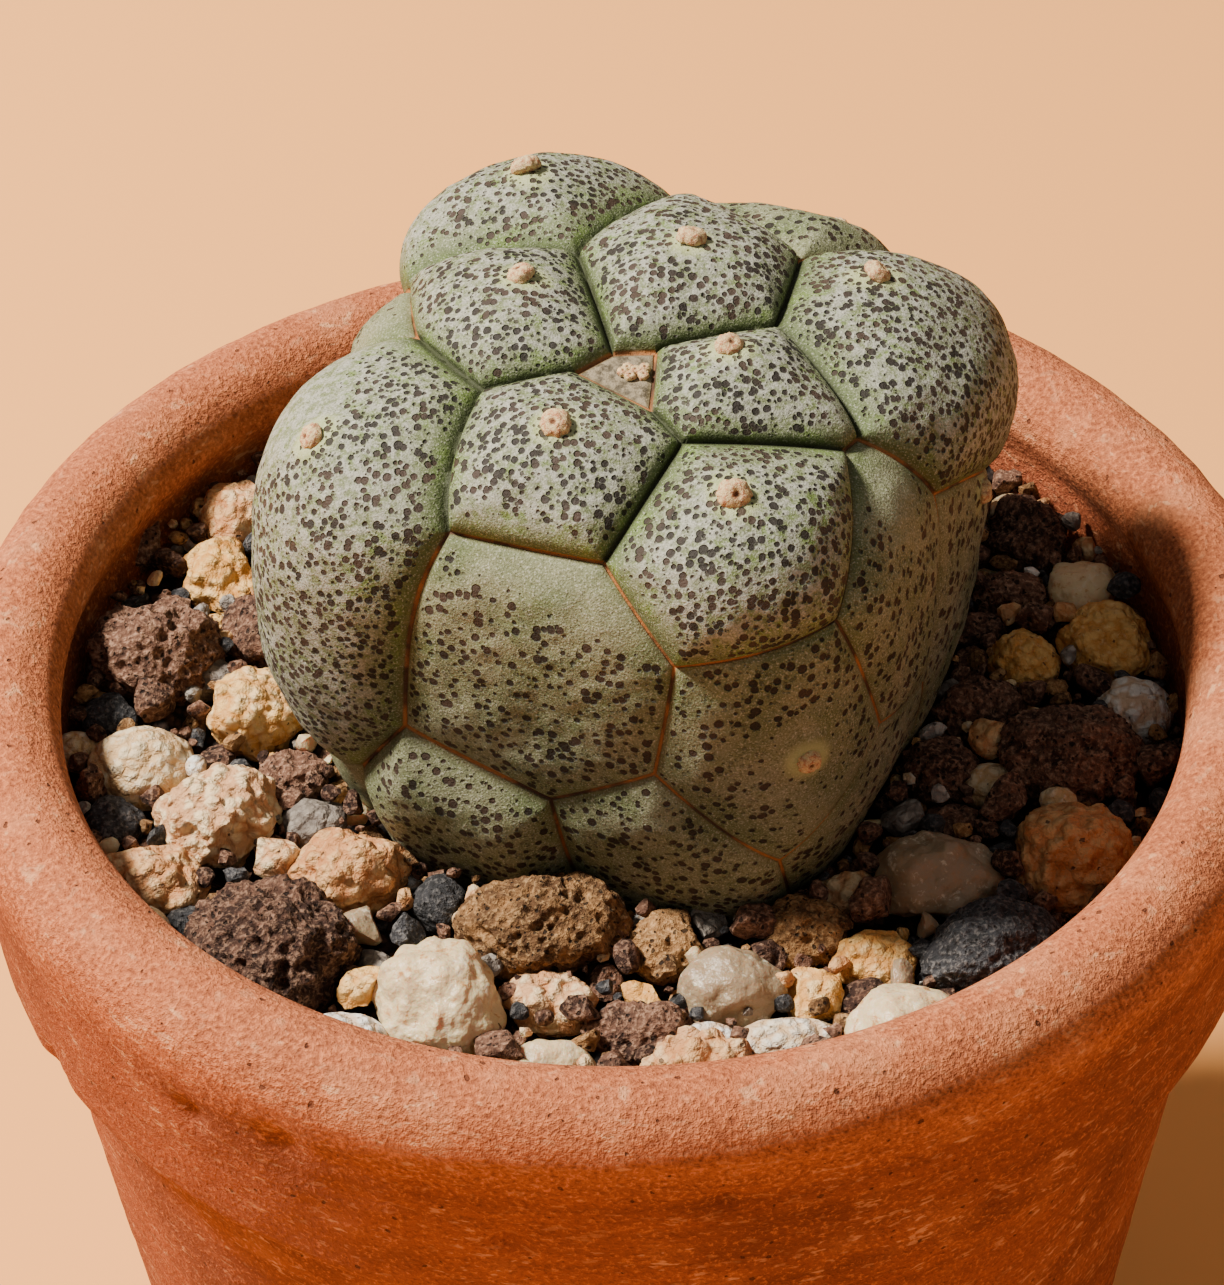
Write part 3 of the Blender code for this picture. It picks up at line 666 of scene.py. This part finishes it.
# %% [markdown]
# ## Dry leaf scars
# Each tubercle once bore a leaf and a flower stalk, and what is left is a corky cream nub with
# a brown hollow in its tip. A small sphere becomes a mound with a crater, its lobes are pulled
# out by noise, and it is sunk a little into the skin so that no gap shows.

# %% Leaf scars
NUB_LIFT = 0.25 * MM
NUB_SHARE = 0.80  # of the scar's width
TIP_NUBS, TIP_NUB_WIDTH = 7, 0.9 * MM


def scar_nub(bm, bearing, tilt, width, lobes):
    """Adds one corky nub to the mesh, standing on the skin."""
    way = Vector(direction(bearing, tilt))
    foot = CENTRE + way * (float(skin_radius(np.array([way]))[0]) + NUB_LIFT)
    made = bmesh.ops.create_icosphere(bm, subdivisions=4, radius=1.0)["verts"]
    turn = way.to_track_quat("Z", "Y").to_matrix()
    hollow = bm.verts.layers.float["hollow"]
    for vert in made:
        spot = vert.co.copy()
        level = math.hypot(spot.x, spot.y)
        crater = math.exp(-((level / 0.28) ** 2)) if spot.z > 0 else 0.0
        lobe = 1 + 0.16 * noise.noise(Vector((spot.x, spot.y, lobes)) * 2.6)
        rough = 1 + 0.10 * noise.noise(spot * 6.0 + Vector((lobes, 0, 0)))
        tall = 0.86 * max(0.0, spot.z) ** 0.7 - 0.24 * crater + 0.35 * min(0.0, spot.z)
        shape = Vector((spot.x * lobe, spot.y * lobe, tall)) * rough * (width / 2)
        vert[hollow] = crater
        vert.co = foot + turn @ shape


scars = bmesh.new()
scars.verts.layers.float.new("hollow")
for number, (bearing, tilt, width) in enumerate(NUBS):
    scar_nub(scars, bearing, tilt, width * NUB_SHARE, 3.0 * number)
for number in range(TIP_NUBS):
    bearing, tilt = -98 + 9 * math.cos(2.4 * number), 15 + 0.5 * number
    scar_nub(scars, bearing, tilt, TIP_NUB_WIDTH, 50.0 + number)
print("leaf scars have", len(scars.faces), "triangles")


def cork_material():
    paint = Paint("dry_cork", Specular_IOR_Level=0.25)
    hollow = paint.attribute("hollow")
    flakes = paint.noise(0.35, 4, 0.65)
    fibre = paint.noise(0.09, 2)
    colour = paint.mix(rgb(206, 178, 128), rgb(176, 116, 82), flakes.rise(0.42, 0.62))
    colour = paint.mix(colour, rgb(232, 212, 172), fibre.rise(0.50, 0.68) * 0.65)
    colour = paint.mix(colour, rgb(92, 48, 30), hollow.rise(0.30, 0.85) * 0.9)
    return paint.finish(colour, 0.8 + fibre * 0.1, flakes * 0.16 + fibre * 0.05)


piece("leaf_scars", scars, cork_material(), "plant_skin")

# %% [markdown]
# ## The pot
# A terracotta pot is thrown or pressed on a wheel, so its section spun about its axis is the
# honest way to make it. The section is walked in short steps first, because the rings of
# points then let noise lay on the faint turning lines, the lip that is a hair out of round,
# and the few chips that a used pot has.

# %% The pot's section
POT_HEIGHT, RIM_RADIUS, LIP_RADIUS, LIP_ROUND = 0.097, 0.0535, 0.0447, 0.0044
COLLAR_DROP, COLLAR_FOOT = 0.0225, 0.0518
LIP_UNDERSIDE = 0.003
BASE_RADIUS, WALL_SLOPE, WALL = 0.0397, 0.124, 0.005
FLOOR, DRAIN, EDGE = 0.006, 0.0065, 0.0015
COLLAR_HOLLOW = 0.0008  # the round where the collar meets the wall
WALL_SHOWN_FROM = 0.080  # the inner wall is bare above this height
SHOWN_STEP, HIDDEN_STEP = 0.0008, 0.006
SOIL_LEVEL, SOIL_TILT = 0.085, 0.05
POT_SIDES = 440


def outer_wall(z):
    return BASE_RADIUS + WALL_SLOPE * z


def inner_wall(z):
    return outer_wall(z) - WALL


def arc(centre_r, centre_z, size, start, end, steps):
    """Points on an arc of the section, with angles in degrees from outwards towards up."""
    angles = [math.radians(start + (end - start) * i / steps) for i in range(steps + 1)]
    return [(centre_r + size * math.cos(a), centre_z + size * math.sin(a)) for a in angles]


def walk(points, step):
    """The same line with a point at least every step."""
    line = []
    for (r0, z0), (r1, z1) in zip(points, points[1:]):
        count = max(1, round(math.hypot(r1 - r0, z1 - z0) / step))
        line += [(r0 + (r1 - r0) * i / count, z0 + (z1 - z0) * i / count) for i in range(count)]
    return line + [points[-1]]


collar_z = POT_HEIGHT - COLLAR_DROP
hollow_z = collar_z - COLLAR_HOLLOW
lip_z = POT_HEIGHT - LIP_ROUND
outside = walk(
    [
        *arc(BASE_RADIUS - EDGE, EDGE, EDGE, -90, 0, 4),
        (outer_wall(hollow_z), hollow_z),
        *arc(outer_wall(collar_z) + COLLAR_HOLLOW, hollow_z, COLLAR_HOLLOW, 180, 90, 3),
        *arc(COLLAR_FOOT - EDGE, collar_z + EDGE, EDGE, -90, 0, 4),
        *arc(RIM_RADIUS - LIP_ROUND, lip_z, LIP_ROUND, 0, 90, 9),
        *arc(LIP_RADIUS + LIP_ROUND, lip_z, LIP_ROUND, 90, 180, 9),
        (inner_wall(lip_z - LIP_UNDERSIDE), lip_z - LIP_UNDERSIDE),
        (inner_wall(WALL_SHOWN_FROM), WALL_SHOWN_FROM),
    ],
    SHOWN_STEP,
)
hidden = walk(
    [
        (inner_wall(WALL_SHOWN_FROM - 0.0005), WALL_SHOWN_FROM - 0.0005),
        (inner_wall(FLOOR + 0.003), FLOOR + 0.003),
        (inner_wall(FLOOR) - 0.003, FLOOR),
        (DRAIN, FLOOR),
        (DRAIN, 0.0),
        (BASE_RADIUS - EDGE - 0.002, 0.0),
    ],
    HIDDEN_STEP,
)
print("the section has", len(outside) + len(hidden), "points")

# %% Spin the section and wear it
CHIPS = [
    # bearing in degrees, height, size and depth in metres
    (-128, 0.0871, 0.0012, 0.0007),
    (-119, 0.0890, 0.0014, 0.0006),
    (-107, 0.0885, 0.0009, 0.0004),
    (-100, 0.0840, 0.0013, 0.0007),
    (-83, 0.0885, 0.0011, 0.0005),
    (-80, 0.0878, 0.0009, 0.0005),
    (-59, 0.0801, 0.0012, 0.0006),
    (-150, 0.0760, 0.0016, 0.0007),
    (-20, 0.0762, 0.0016, 0.0007),
    (60, 0.0930, 0.0018, 0.0007),
    (125, 0.0765, 0.0018, 0.0007),
    (20, 0.0510, 0.0015, 0.0005),
    (-140, 0.0420, 0.0015, 0.0005),
]


def spin_section(section, sides):
    """One closed section, turned all the way round."""
    bm = bmesh.new()
    ring = [bm.verts.new((r, 0.0, z)) for r, z in section]
    edges = [bm.edges.new(pair) for pair in zip(ring, ring[1:] + ring[:1])]
    bmesh.ops.spin(
        bm,
        geom=ring + edges,
        cent=(0, 0, 0),
        axis=(0, 0, 1),
        angle=math.tau,
        steps=sides,
        use_merge=True,
    )
    bmesh.ops.remove_doubles(bm, verts=bm.verts, dist=TOUCHING)
    bmesh.ops.recalc_face_normals(bm, faces=bm.faces)
    return bm


CHIP_RADIUS = 0.054  # the pot's radius where its chips are
CHIP_REACH = 2.5  # in sizes of the chip
WORN_FROM, WEAR_FADE = 0.002, 0.006  # heights between which the wear begins


def wear(place, outward):
    """How far the clay stands out from the plain section at a point."""
    turned = Vector((outward.x * 1.3, outward.y * 1.3, place.z / (1.6 * MM)))
    uneven = noise.noise(Vector((outward.x, outward.y, place.z / (30 * MM))) * 1.4)
    move = 0.12 * MM * noise.noise(turned) + 0.20 * MM * uneven
    move += 0.10 * MM * noise.noise(place / (2.4 * MM))
    for bearing, height, size, depth in CHIPS:
        way = Vector((math.cos(math.radians(bearing)), math.sin(math.radians(bearing)), 0))
        level = math.hypot(outward.x - way.x, outward.y - way.y) * CHIP_RADIUS
        far = math.hypot(level, place.z - height) / size
        if far < CHIP_REACH:
            move -= depth * math.exp(-(far**2)) * (1 + 0.8 * noise.noise(place / (0.8 * MM)))
    return move


pot = spin_section(outside + hidden, POT_SIDES)
worn = {}
for vert in pot.verts:
    level = math.hypot(vert.co.x, vert.co.y)
    if vert.co.z > WORN_FROM and level > inner_wall(vert.co.z) - 0.5 * MM:
        outward = Vector((vert.co.x / level, vert.co.y / level, 0))
        fade = min(1.0, vert.co.z / WEAR_FADE)
        worn[vert] = vert.co + vert.normal * wear(vert.co, outward) * fade
for vert, place in worn.items():
    vert.co = place
print("the pot has", len(pot.faces), "faces, and", len(worn), "points are worn")

# %% [markdown]
# ## Terracotta
# Fired clay is never one orange. It is sandy in the grain, paler on the lip, where a painted
# highlight stands for the light on the rim's top, streaked by the wheel, and flecked with white
# lime that water left.
# The flecks are thin noise, drawn out along the turning direction by squeezing the height.

# %% Terracotta material
def terracotta_material(name, dark, middle, pale):
    paint = Paint(name, Specular_IOR_Level=0.22)
    height = paint.part(paint.place, 2)
    # Paler from here up to the lip: a painted highlight on the rim's lit top.
    lip = height.rise(87.0, 93.5)
    drift = paint.noise(14.0, 3)
    streaks = paint.noise(3.2, 3, 0.6, at=paint.stretched(0.22, 0.22, 1.9))
    sand = paint.noise(0.42, 2, 0.7)
    grain = paint.noise(0.13, 2, 0.6)
    drawn_out = paint.warped(2.0, 1.2, at=paint.stretched(0.55, 0.55, 1.5))
    flecks = paint.noise(0.95, 2, 0.62, at=drawn_out)
    bloom = paint.noise(7.0, 3, 0.6)
    pores, chance = paint.cells_and_chance(1.7, paint.warped(0.5, 0.5), axis=1)
    pore = ((0.03 + 0.13 * chance - pores) / 0.04).rise(0, 1)

    shade = drift.rise(0.30, 0.62) * 0.6 + streaks.rise(0.35, 0.65) * 0.4
    colour = paint.mix(dark, middle, shade)
    colour = paint.mix(colour, pale, (lip * 0.45 + sand.rise(0.48, 0.72) * 0.6).rise(0.0, 1.0))
    colour = paint.mix(colour, dark, sand.rise(0.48, 0.30) * 0.65)
    lime = flecks.rise(0.585, 0.68) * (0.30 + bloom.rise(0.45, 0.65) * 0.7)
    colour = paint.mix(colour, rgb(224, 166, 122), lime * 0.6)
    # The lime haze is stronger towards the lip, which adds to the painted highlight there.
    haze = bloom.rise(0.5, 0.75) * (0.2 + lip * 0.4)
    colour = paint.mix(colour, rgb(222, 160, 114), haze * 0.45)
    # Painted shade inside the pores.
    colour = paint.mix(colour, rgb(60, 24, 14), pore * 0.75)
    relief = sand * 0.30 + grain * 0.10 + streaks * 0.26 - pore * 0.25
    return paint.finish(colour, 0.80 + grain * 0.12, relief)


terracotta = terracotta_material(
    "terracotta", rgb(112, 54, 32), rgb(152, 78, 46), rgb(202, 120, 76)
)
piece("terracotta_pot", pot, terracotta, "terracotta", "pot")

# %% [markdown]
# The potsherd over the drain hole keeps its solid, which is plain broken clay already, and
# takes an older and dirtier terracotta. The mix below the dressing keeps its solid too, since
# its own grains are laid over it further down.

# %% Crock and mix
def mix_material():
    paint = Paint("damp_mix", Specular_IOR_Level=0.3)
    crumbs, shade = paint.cells_and_chance(0.9, paint.warped(0.7, 0.5))
    dust = paint.noise(0.3, 3)
    colour = paint.mix(rgb(38, 28, 24), rgb(92, 68, 54), shade.rise(0.1, 0.9) * 0.7 + dust * 0.2)
    # Painted shade in the gaps between crumbs: darker away from each crumb's middle.
    colour = paint.mix(colour, rgb(14, 10, 9), crumbs.rise(0.35, 0.65))
    return paint.finish(colour, 0.85 + dust * 0.1, dust * 0.1 - crumbs * 0.5)


def dress(node, material):
    """Gives a carried-over solid its finish."""
    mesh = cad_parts[node].data
    mesh.materials.clear()
    mesh.materials.append(material)


dress("soil", mix_material())
old_clay = terracotta_material(
    "old_terracotta", rgb(130, 60, 34), rgb(158, 80, 48), rgb(186, 118, 82)
)
dress("drain_crock", old_clay)

# %% [markdown]
# ## Stones
# Eight kinds of stone dress the pot. Lava is all pores, cream and yellow grit is knobbly like
# popcorn, quartz breaks in soft facets, and pebbles are smooth. One routine weathers any of
# them: it rounds the coarse solid by halving its edges with a smooth step, and then moves
# each point in or out by lumps, pores and grain, in amounts that belong to the kind.

# %% Weathering
KINDS = {
    # lumps and their size, pores' depth and spacing, knobs and grain, all in millimetres, and
    # how far the halved edges round the stone
    "brown_lava": (0.60, 2.6, 0.95, 1.35, 0.0, 0.28, 1.0),
    "tan_lava": (0.55, 2.4, 0.75, 1.15, 0.0, 0.26, 1.0),
    "black_lava": (0.50, 2.2, 0.45, 1.10, 0.0, 0.20, 0.6),
    "cream_grit": (0.65, 2.4, 0.45, 1.50, 0.85, 0.20, 1.0),
    "yellow_grit": (0.60, 2.4, 0.40, 1.40, 0.75, 0.18, 1.0),
    "grey_grit": (0.35, 2.2, 0.20, 1.10, 0.0, 0.12, 0.5),
    "quartz": (0.60, 2.8, 0.0, 1.40, 0.70, 0.08, 0.75),
    "white_pebble": (0.28, 3.4, 0.0, 1.50, 0.0, 0.03, 1.0),
}


STONE_BREAKS, STONE_BREAK_REACH = 7, (0.84, 0.95)
LEVELS = [(0.0150, 4), (0.0085, 3), (0.0, 2)]  # how often the edges are halved, by size


def break_faces(verts, middle, count, reach, draw):
    """Breaks off what stands out furthest in a few directions, which leaves flat faces."""
    for _ in range(count):
        way = Vector((draw.gauss(0, 1), draw.gauss(0, 1), draw.gauss(0, 1))).normalized()
        spans = [(vert.co - middle).dot(way) for vert in verts]
        limit = max(spans) * draw.uniform(*reach)
        for vert, span in zip(verts, spans):
            if span > limit:
                vert.co -= way * (span - limit)


def weather(bm, verts, kind, middle, share=1.0, shift=0.0):
    """Moves the points of one stone in and out from its middle."""
    lumps, lump_size, pores, spacing, knobs, grain, _ = KINDS[kind]
    away = Vector((shift, shift * 0.7, -shift))
    for vert in verts:
        way = (vert.co - middle).normalized()
        spot = vert.co / MM + away
        move = lumps * noise.noise(spot / lump_size)
        move += grain * noise.noise(spot / 0.45)
        if pores:
            near = noise.voronoi(spot / spacing)[0][0]
            move -= pores * max(0.0, 1 - near / 0.48) ** 0.8
        if knobs:
            near = noise.voronoi(spot / (spacing * 1.25) + Vector((9, 9, 9)))[0][0]
            move += knobs * (0.5 - near)
        vert.co += way * (move * share * MM)


def stone_mesh(node, kind):
    """A fine copy of a stone's solid."""
    bm = bmesh.new()
    bm.from_mesh(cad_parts[node].data)
    bmesh.ops.remove_doubles(bm, verts=bm.verts, dist=TOUCHING)
    low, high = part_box(node)
    across = (high - low).length
    levels = next(count for limit, count in LEVELS if across > limit)
    for _ in range(levels):
        bmesh.ops.subdivide_edges(
            bm, edges=bm.edges, cuts=1, smooth=KINDS[kind][6], use_grid_fill=True
        )
    middle = (low + high) / 2
    if kind != "white_pebble":
        break_faces(bm.verts, middle, STONE_BREAKS, STONE_BREAK_REACH, random.Random(node))
    weather(bm, bm.verts, kind, middle, min(1.0, 0.45 + across / 0.036))
    bmesh.ops.recalc_face_normals(bm, faces=bm.faces)
    return bm


# %% [markdown]
# ## Materials of the stones
# Each kind gets colours of its own, and every stone also carries one number, its tone, so that
# two stones of a kind are never the same shade. Pores that are too small for the mesh are
# dents with painted shade in them: dark dots, made as the skin's pits are.

# %% Lava
def lava_material(name, dark, middle, light, shine):
    paint = Paint(name, Specular_IOR_Level=shine)
    tone = paint.attribute("tone")
    clouds = paint.noise(1.9, 4, 0.62)
    crumbs = paint.noise(0.42, 3, 0.6)
    grain = paint.noise(0.12, 2)
    pores, chance = paint.cells_and_chance(0.62, paint.warped(0.5, 0.45))
    # The dark in the pores is painted shade inside the holes.
    pore = ((0.12 + 0.26 * chance - pores) / 0.10).rise(0, 1)
    colour = paint.mix(dark, middle, (clouds + tone * 0.25 - 0.12).rise(0.34, 0.62))
    colour = paint.mix(colour, light, crumbs.rise(0.46, 0.68) * (0.40 + tone * 0.4))
    colour = paint.mix(colour, dark, crumbs.rise(0.46, 0.30) * 0.6)
    colour = paint.mix(colour, rgb(20, 14, 12), pore * 0.85)
    height = crumbs * 0.50 + grain * 0.10 + clouds * 0.2 - pore * 0.45
    return paint.finish(colour, 0.82 + grain * 0.1, height)


STONE_PAINTS = {}
for kind, dark, middle, light, shine in [
    ("brown_lava", (48, 31, 25), (108, 76, 60), (176, 138, 112), 0.2),
    ("tan_lava", (84, 58, 36), (148, 108, 68), (196, 156, 108), 0.2),
    ("black_lava", (22, 22, 24), (52, 52, 56), (120, 116, 114), 0.5),
]:
    STONE_PAINTS[kind] = lava_material(kind, rgb(*dark), rgb(*middle), rgb(*light), shine)

# %% Grit, quartz and pebbles
def grit_material(name, white, cream, ochre, speck):
    paint = Paint(name, Specular_IOR_Level=0.4)
    tone = paint.attribute("tone")
    clouds = paint.noise(2.4, 3, 0.6)
    stains = paint.noise(1.3, 4, 0.6, at=paint.warped(2.0, 1.0))
    crumbs = paint.noise(0.5, 3, 0.62)
    grain = paint.noise(0.13, 2)
    knobs = paint.cells(1.1, at=paint.warped(0.9, 0.5))
    dots, chance = paint.cells_and_chance(0.95, paint.warped(0.4, 0.5), axis=2)
    dot = ((0.24 * chance - 0.04 - dots) / 0.05).rise(0, 1)
    colour = paint.mix(white, cream, (clouds + tone * 0.6 - 0.3).rise(0.30, 0.66))
    colour = paint.mix(colour, ochre, stains.rise(0.52, 0.70) * (0.25 + tone * 0.6))
    # Ochre between the knobs: partly stains in the crevices, partly painted shade there.
    colour = paint.mix(colour, ochre, knobs.rise(0.38, 0.64) * 0.65)
    colour = paint.mix(colour, white, crumbs.rise(0.55, 0.72) * 0.4)
    colour = paint.mix(colour, speck, dot * 0.8)
    height = crumbs * 0.45 + grain * 0.08 - knobs * 0.7 - dot * 0.25
    return paint.finish(colour, 0.62 + grain * 0.2, height)


def quartz_material(name, clear, cloudy):
    paint = Paint(name, Specular_IOR_Level=0.5, Transmission_Weight=0.18, IOR=1.45)
    paint.shader.inputs["Subsurface Weight"].default_value = 0.25
    paint.shader.inputs["Subsurface Scale"].default_value = 0.0025
    tone = paint.attribute("tone")
    clouds = paint.noise(2.2, 4, 0.6, at=paint.warped(3.0, 1.5))
    veins = paint.noise(1.0, 4, 0.7, at=paint.warped(1.5, 1.4))
    crumbs = paint.noise(0.6, 3)
    colour = paint.mix(clear, cloudy, (clouds + tone - 0.5).rise(0.25, 0.75))
    colour = paint.mix(colour, rgb(236, 224, 198), veins.rise(0.56, 0.66) * 0.6)
    colour = paint.mix(colour, rgb(190, 122, 52), veins.rise(0.46, 0.34) * (0.1 + tone * 0.7))
    return paint.finish(colour, 0.28 + crumbs * 0.25, crumbs * 0.22 + clouds * 0.25)


for kind, *colours in [
    # white, cream, ochre and the dark specks
    ("cream_grit", (228, 200, 156), (210, 160, 106), (184, 112, 60), (52, 36, 28)),
    ("yellow_grit", (236, 208, 158), (226, 178, 104), (200, 130, 50), (76, 50, 32)),
    ("grey_grit", (176, 168, 158), (126, 116, 106), (86, 76, 70), (34, 30, 30)),
    ("white_pebble", (230, 226, 218), (216, 194, 156), (196, 150, 94), (120, 104, 88)),
]:
    STONE_PAINTS[kind] = grit_material(kind, *[rgb(*colour) for colour in colours])
STONE_PAINTS["quartz"] = quartz_material("quartz", rgb(158, 136, 108), rgb(226, 200, 156))

# %% Dress every stone
TONES = {
    "cream_grit_01": 0.55,
    "cream_grit_02": 0.6,
    "cream_grit_03": 0.1,
    "cream_grit_04": 0.85,
    "cream_grit_05": 0.35,
    "cream_grit_07": 0.95,
    "quartz_01": 0.85,
    "quartz_02": 0.6,
    "quartz_03": 0.05,
    "quartz_04": 0.15,
    "quartz_05": 0.9,
    "white_pebble_01": 0.95,
    "white_pebble_02": 0.5,
    "white_pebble_03": 0.05,
    "yellow_grit_02": 0.55,
    "brown_lava_01": 0.9,
    "brown_lava_02": 0.45,
    "brown_lava_04": 0.15,
    "brown_lava_12": 0.6,
}

draw = random.Random(8)
stones = {}
for node in sorted(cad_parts):
    kind = node.rsplit("_", 1)[0]
    if kind not in KINDS:
        continue
    fine = stone_mesh(node, kind)
    tone = TONES.get(node, draw.random())
    write_attribute(fine, "tone", [tone] * len(fine.verts))
    stones[node] = piece(node + "_stone", fine, STONE_PAINTS[kind], kind, node)
print(len(stones), "stones,", sum(len(s.data.polygons) for s in stones.values()), "triangles")

# %% [markdown]
# ## Small grains
# Between the stones lie hundreds of smaller grains of the same kinds. Each is dropped at a
# random place inside the pot: it comes to rest on the mix, or against the stones and grains
# that already lie there, as a ball would, and it is left out where it would perch on top.
# A few larger ones that the view picks out are listed with their places.

# %% Drop the grains
GRAIN_MIX = [
    ("brown_lava", 0.40),
    ("tan_lava", 0.20),
    ("black_lava", 0.11),
    ("grey_grit", 0.08),
    ("cream_grit", 0.07),
    ("yellow_grit", 0.05),
    ("white_pebble", 0.03),
    ("quartz", 0.06),
]
SHOWN_GRAINS = [
    # place from above and width in millimetres, of grains that the view picks out
    ("brown_lava", -41, 23, 6.0),
    ("grey_grit", -34, 7, 4.5),
    ("white_pebble", -44, -1, 3.4),
    ("brown_lava", -33, -3, 4.0),
    ("black_lava", -34, -21, 4.5),
    ("grey_grit", -19, -25, 4.0),
    ("brown_lava", -2, -27, 3.5),
    ("yellow_grit", 1, -29, 4.0),
    ("white_pebble", 6, -33, 3.6),
    ("grey_grit", 6, -21, 4.0),
    ("brown_lava", 11, -25, 4.0),
    ("brown_lava", 18, -30, 4.5),
    ("grey_grit", 22, -11, 4.0),
    ("black_lava", 29, -15, 3.7),
    ("white_pebble", 29, -7, 3.7),
    ("black_lava", 39, 6, 4.0),
    ("white_pebble", 33, 25, 4.0),
]


GRAIN_SIZES = [
    # how many, radius from and to, and how high above the mix they may lie, in millimetres
    (170, 1.5, 2.3, 3.4),
    (700, 0.8, 1.4, 3.0),
    (900, 0.45, 0.8, 2.6),
]
TRIES = 14  # for each grain
GRAIN_RING = (0.018, 0.0448)  # from the plant's foot to the wall
WALL_ROOM = 0.0003
# Shares of a radius: between two middles, above the mix, off the skin, and of a stone's box
NEST, SUNK, SHOWN_SUNK, SKIN_ROOM, BALL_SHARE = 0.94, 0.25, 0.55, 0.9, 0.97


def soil_level(y):
    return SOIL_LEVEL + SOIL_TILT * y


class Heap:
    """Balls that lie in the pot, as places and radii."""

    def __init__(self):
        self.balls = np.zeros((0, 4))

    def add(self, x, y, z, radius):
        self.balls = np.vstack([self.balls, (x, y, z, radius)])

    def rest(self, x, y, radius):
        """The height at which a ball comes to rest at that place."""
        level = np.hypot(self.balls[:, 0] - x, self.balls[:, 1] - y)
        reach = (self.balls[:, 3] + radius) * NEST
        under = level < reach
        touch = self.balls[under, 2] + np.sqrt(reach[under] ** 2 - level[under] ** 2)
        return max([soil_level(y) + SUNK * radius, *touch])

    def has_room(self, x, y, z, radius, highest):
        """Whether it lies clear of the wall and the skin, and not too high."""
        if math.hypot(x, y) > inner_wall(z) - radius - WALL_ROOM or z - soil_level(y) > highest:
            return False
        away = np.array((x, y, z)) - np.array(CENTRE)
        distance = float(np.linalg.norm(away))
        return distance > float(skin_radius((away / distance)[None, :])[0]) + radius * SKIN_ROOM


heap = Heap()
for node in stones:
    low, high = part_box(node)
    middle = (low + high) / 2
    heap.add(*middle, (high - low).length / 2 / 1.732 * BALL_SHARE)

grains = []
for kind, x, y, width in SHOWN_GRAINS:
    z = soil_level(y * MM) + SHOWN_SUNK * width / 2 * MM
    grains.append((kind, x * MM, y * MM, z, width / 2 * MM))
    heap.add(x * MM, y * MM, z, width / 2 * MM)

draw = random.Random(21)
kinds, chances = zip(*GRAIN_MIX)
for count, small, large, highest in GRAIN_SIZES:
    laid = 0
    for _ in range(count * TRIES):
        bearing = draw.uniform(-math.pi, math.pi)
        level = math.sqrt(draw.uniform(GRAIN_RING[0] ** 2, GRAIN_RING[1] ** 2))
        x, y = level * math.cos(bearing), level * math.sin(bearing)
        size = draw.uniform(small, large) * MM
        z = heap.rest(x, y, size)
        if heap.has_room(x, y, z, size, highest * MM):
            grains.append((draw.choices(kinds, chances)[0], x, y, z, size))
            heap.add(x, y, z, size)
            laid += 1
        if laid == count:
            break
    print(laid, "grains of", 2 * small, "to", 2 * large, "mm")

# %% Shape the grains
ROUNDS = [(0.0014, 3), (0.0006, 2), (0.0, 1)]  # how finely a grain is divided, by its radius
GRAIN_BREAKS, GRAIN_BREAK_REACH = 9, (0.55, 0.85)
SHARP_EDGE = math.radians(38)


def add_grain(bm, kind, x, y, z, radius, tone):
    """Adds one small stone to a mesh of its kind."""
    rounds = next(count for limit, count in ROUNDS if radius > limit)
    made = bmesh.ops.create_icosphere(bm, subdivisions=rounds, radius=radius)["verts"]
    wide = Vector((draw.uniform(1.0, 1.4), draw.uniform(0.8, 1.15), draw.uniform(0.75, 1.05)))
    turned = Matrix.Rotation(draw.uniform(0, math.tau), 3, "Z")
    turned = turned @ Matrix.Rotation(draw.uniform(-0.5, 0.5), 3, "X")
    layer = bm.verts.layers.float["tone"]
    for vert in made:
        vert.co = turned @ (vert.co * wide) + Vector((x, y, z))
        vert[layer] = tone
    if kind != "white_pebble":
        break_faces(made, Vector((x, y, z)), GRAIN_BREAKS, GRAIN_BREAK_REACH, draw)
    weather(bm, made, kind, Vector((x, y, z)), min(1.0, radius / 0.0042), draw.uniform(0, 40))


beds = {}
for kind in KINDS:
    beds[kind] = bmesh.new()
    beds[kind].verts.layers.float.new("tone")
for kind, x, y, z, radius in grains:
    add_grain(beds[kind], kind, x, y, z, radius, draw.random())
for kind, bed in beds.items():
    print(kind, "grains have", len(bed.faces), "triangles")
    bed = piece(kind + "_grains", bed, STONE_PAINTS[kind], kind)
    bed.data.set_sharp_from_angle(angle=SHARP_EDGE)

# %% [markdown]
# ## The floor
# The object stands on a plain floor of warm pale sand colour, which also throws warm light
# back up at the pot.

# %% Floor
FLOOR_REACH = 4.0
ground = bmesh.new()
bmesh.ops.create_grid(ground, x_segments=1, y_segments=1, size=FLOOR_REACH)
floor_mesh = bpy.data.meshes.new("floor")
ground.to_mesh(floor_mesh)
ground.free()
floor_paint = Paint("sand_floor", Roughness=0.9, Specular_IOR_Level=0.1)
floor_paint.shader.inputs["Base Color"].default_value = rgb(246, 172, 98)
floor_mesh.materials.append(floor_paint.material)
floor = bpy.data.objects.new("floor", floor_mesh)
bpy.context.scene.collection.objects.link(floor)
floor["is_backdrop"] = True

# %% Sizes of the solids and of what is shown
seen_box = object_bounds()
shown = list(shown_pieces())
print(len(shown), "pieces,", sum(len(o.data.polygons) for o in shown), "faces")
for title, box in (("solids", cad_box), ("seen", seen_box)):
    print(title, "reach", [round(c / MM, 1) for c in box[1]], "mm")
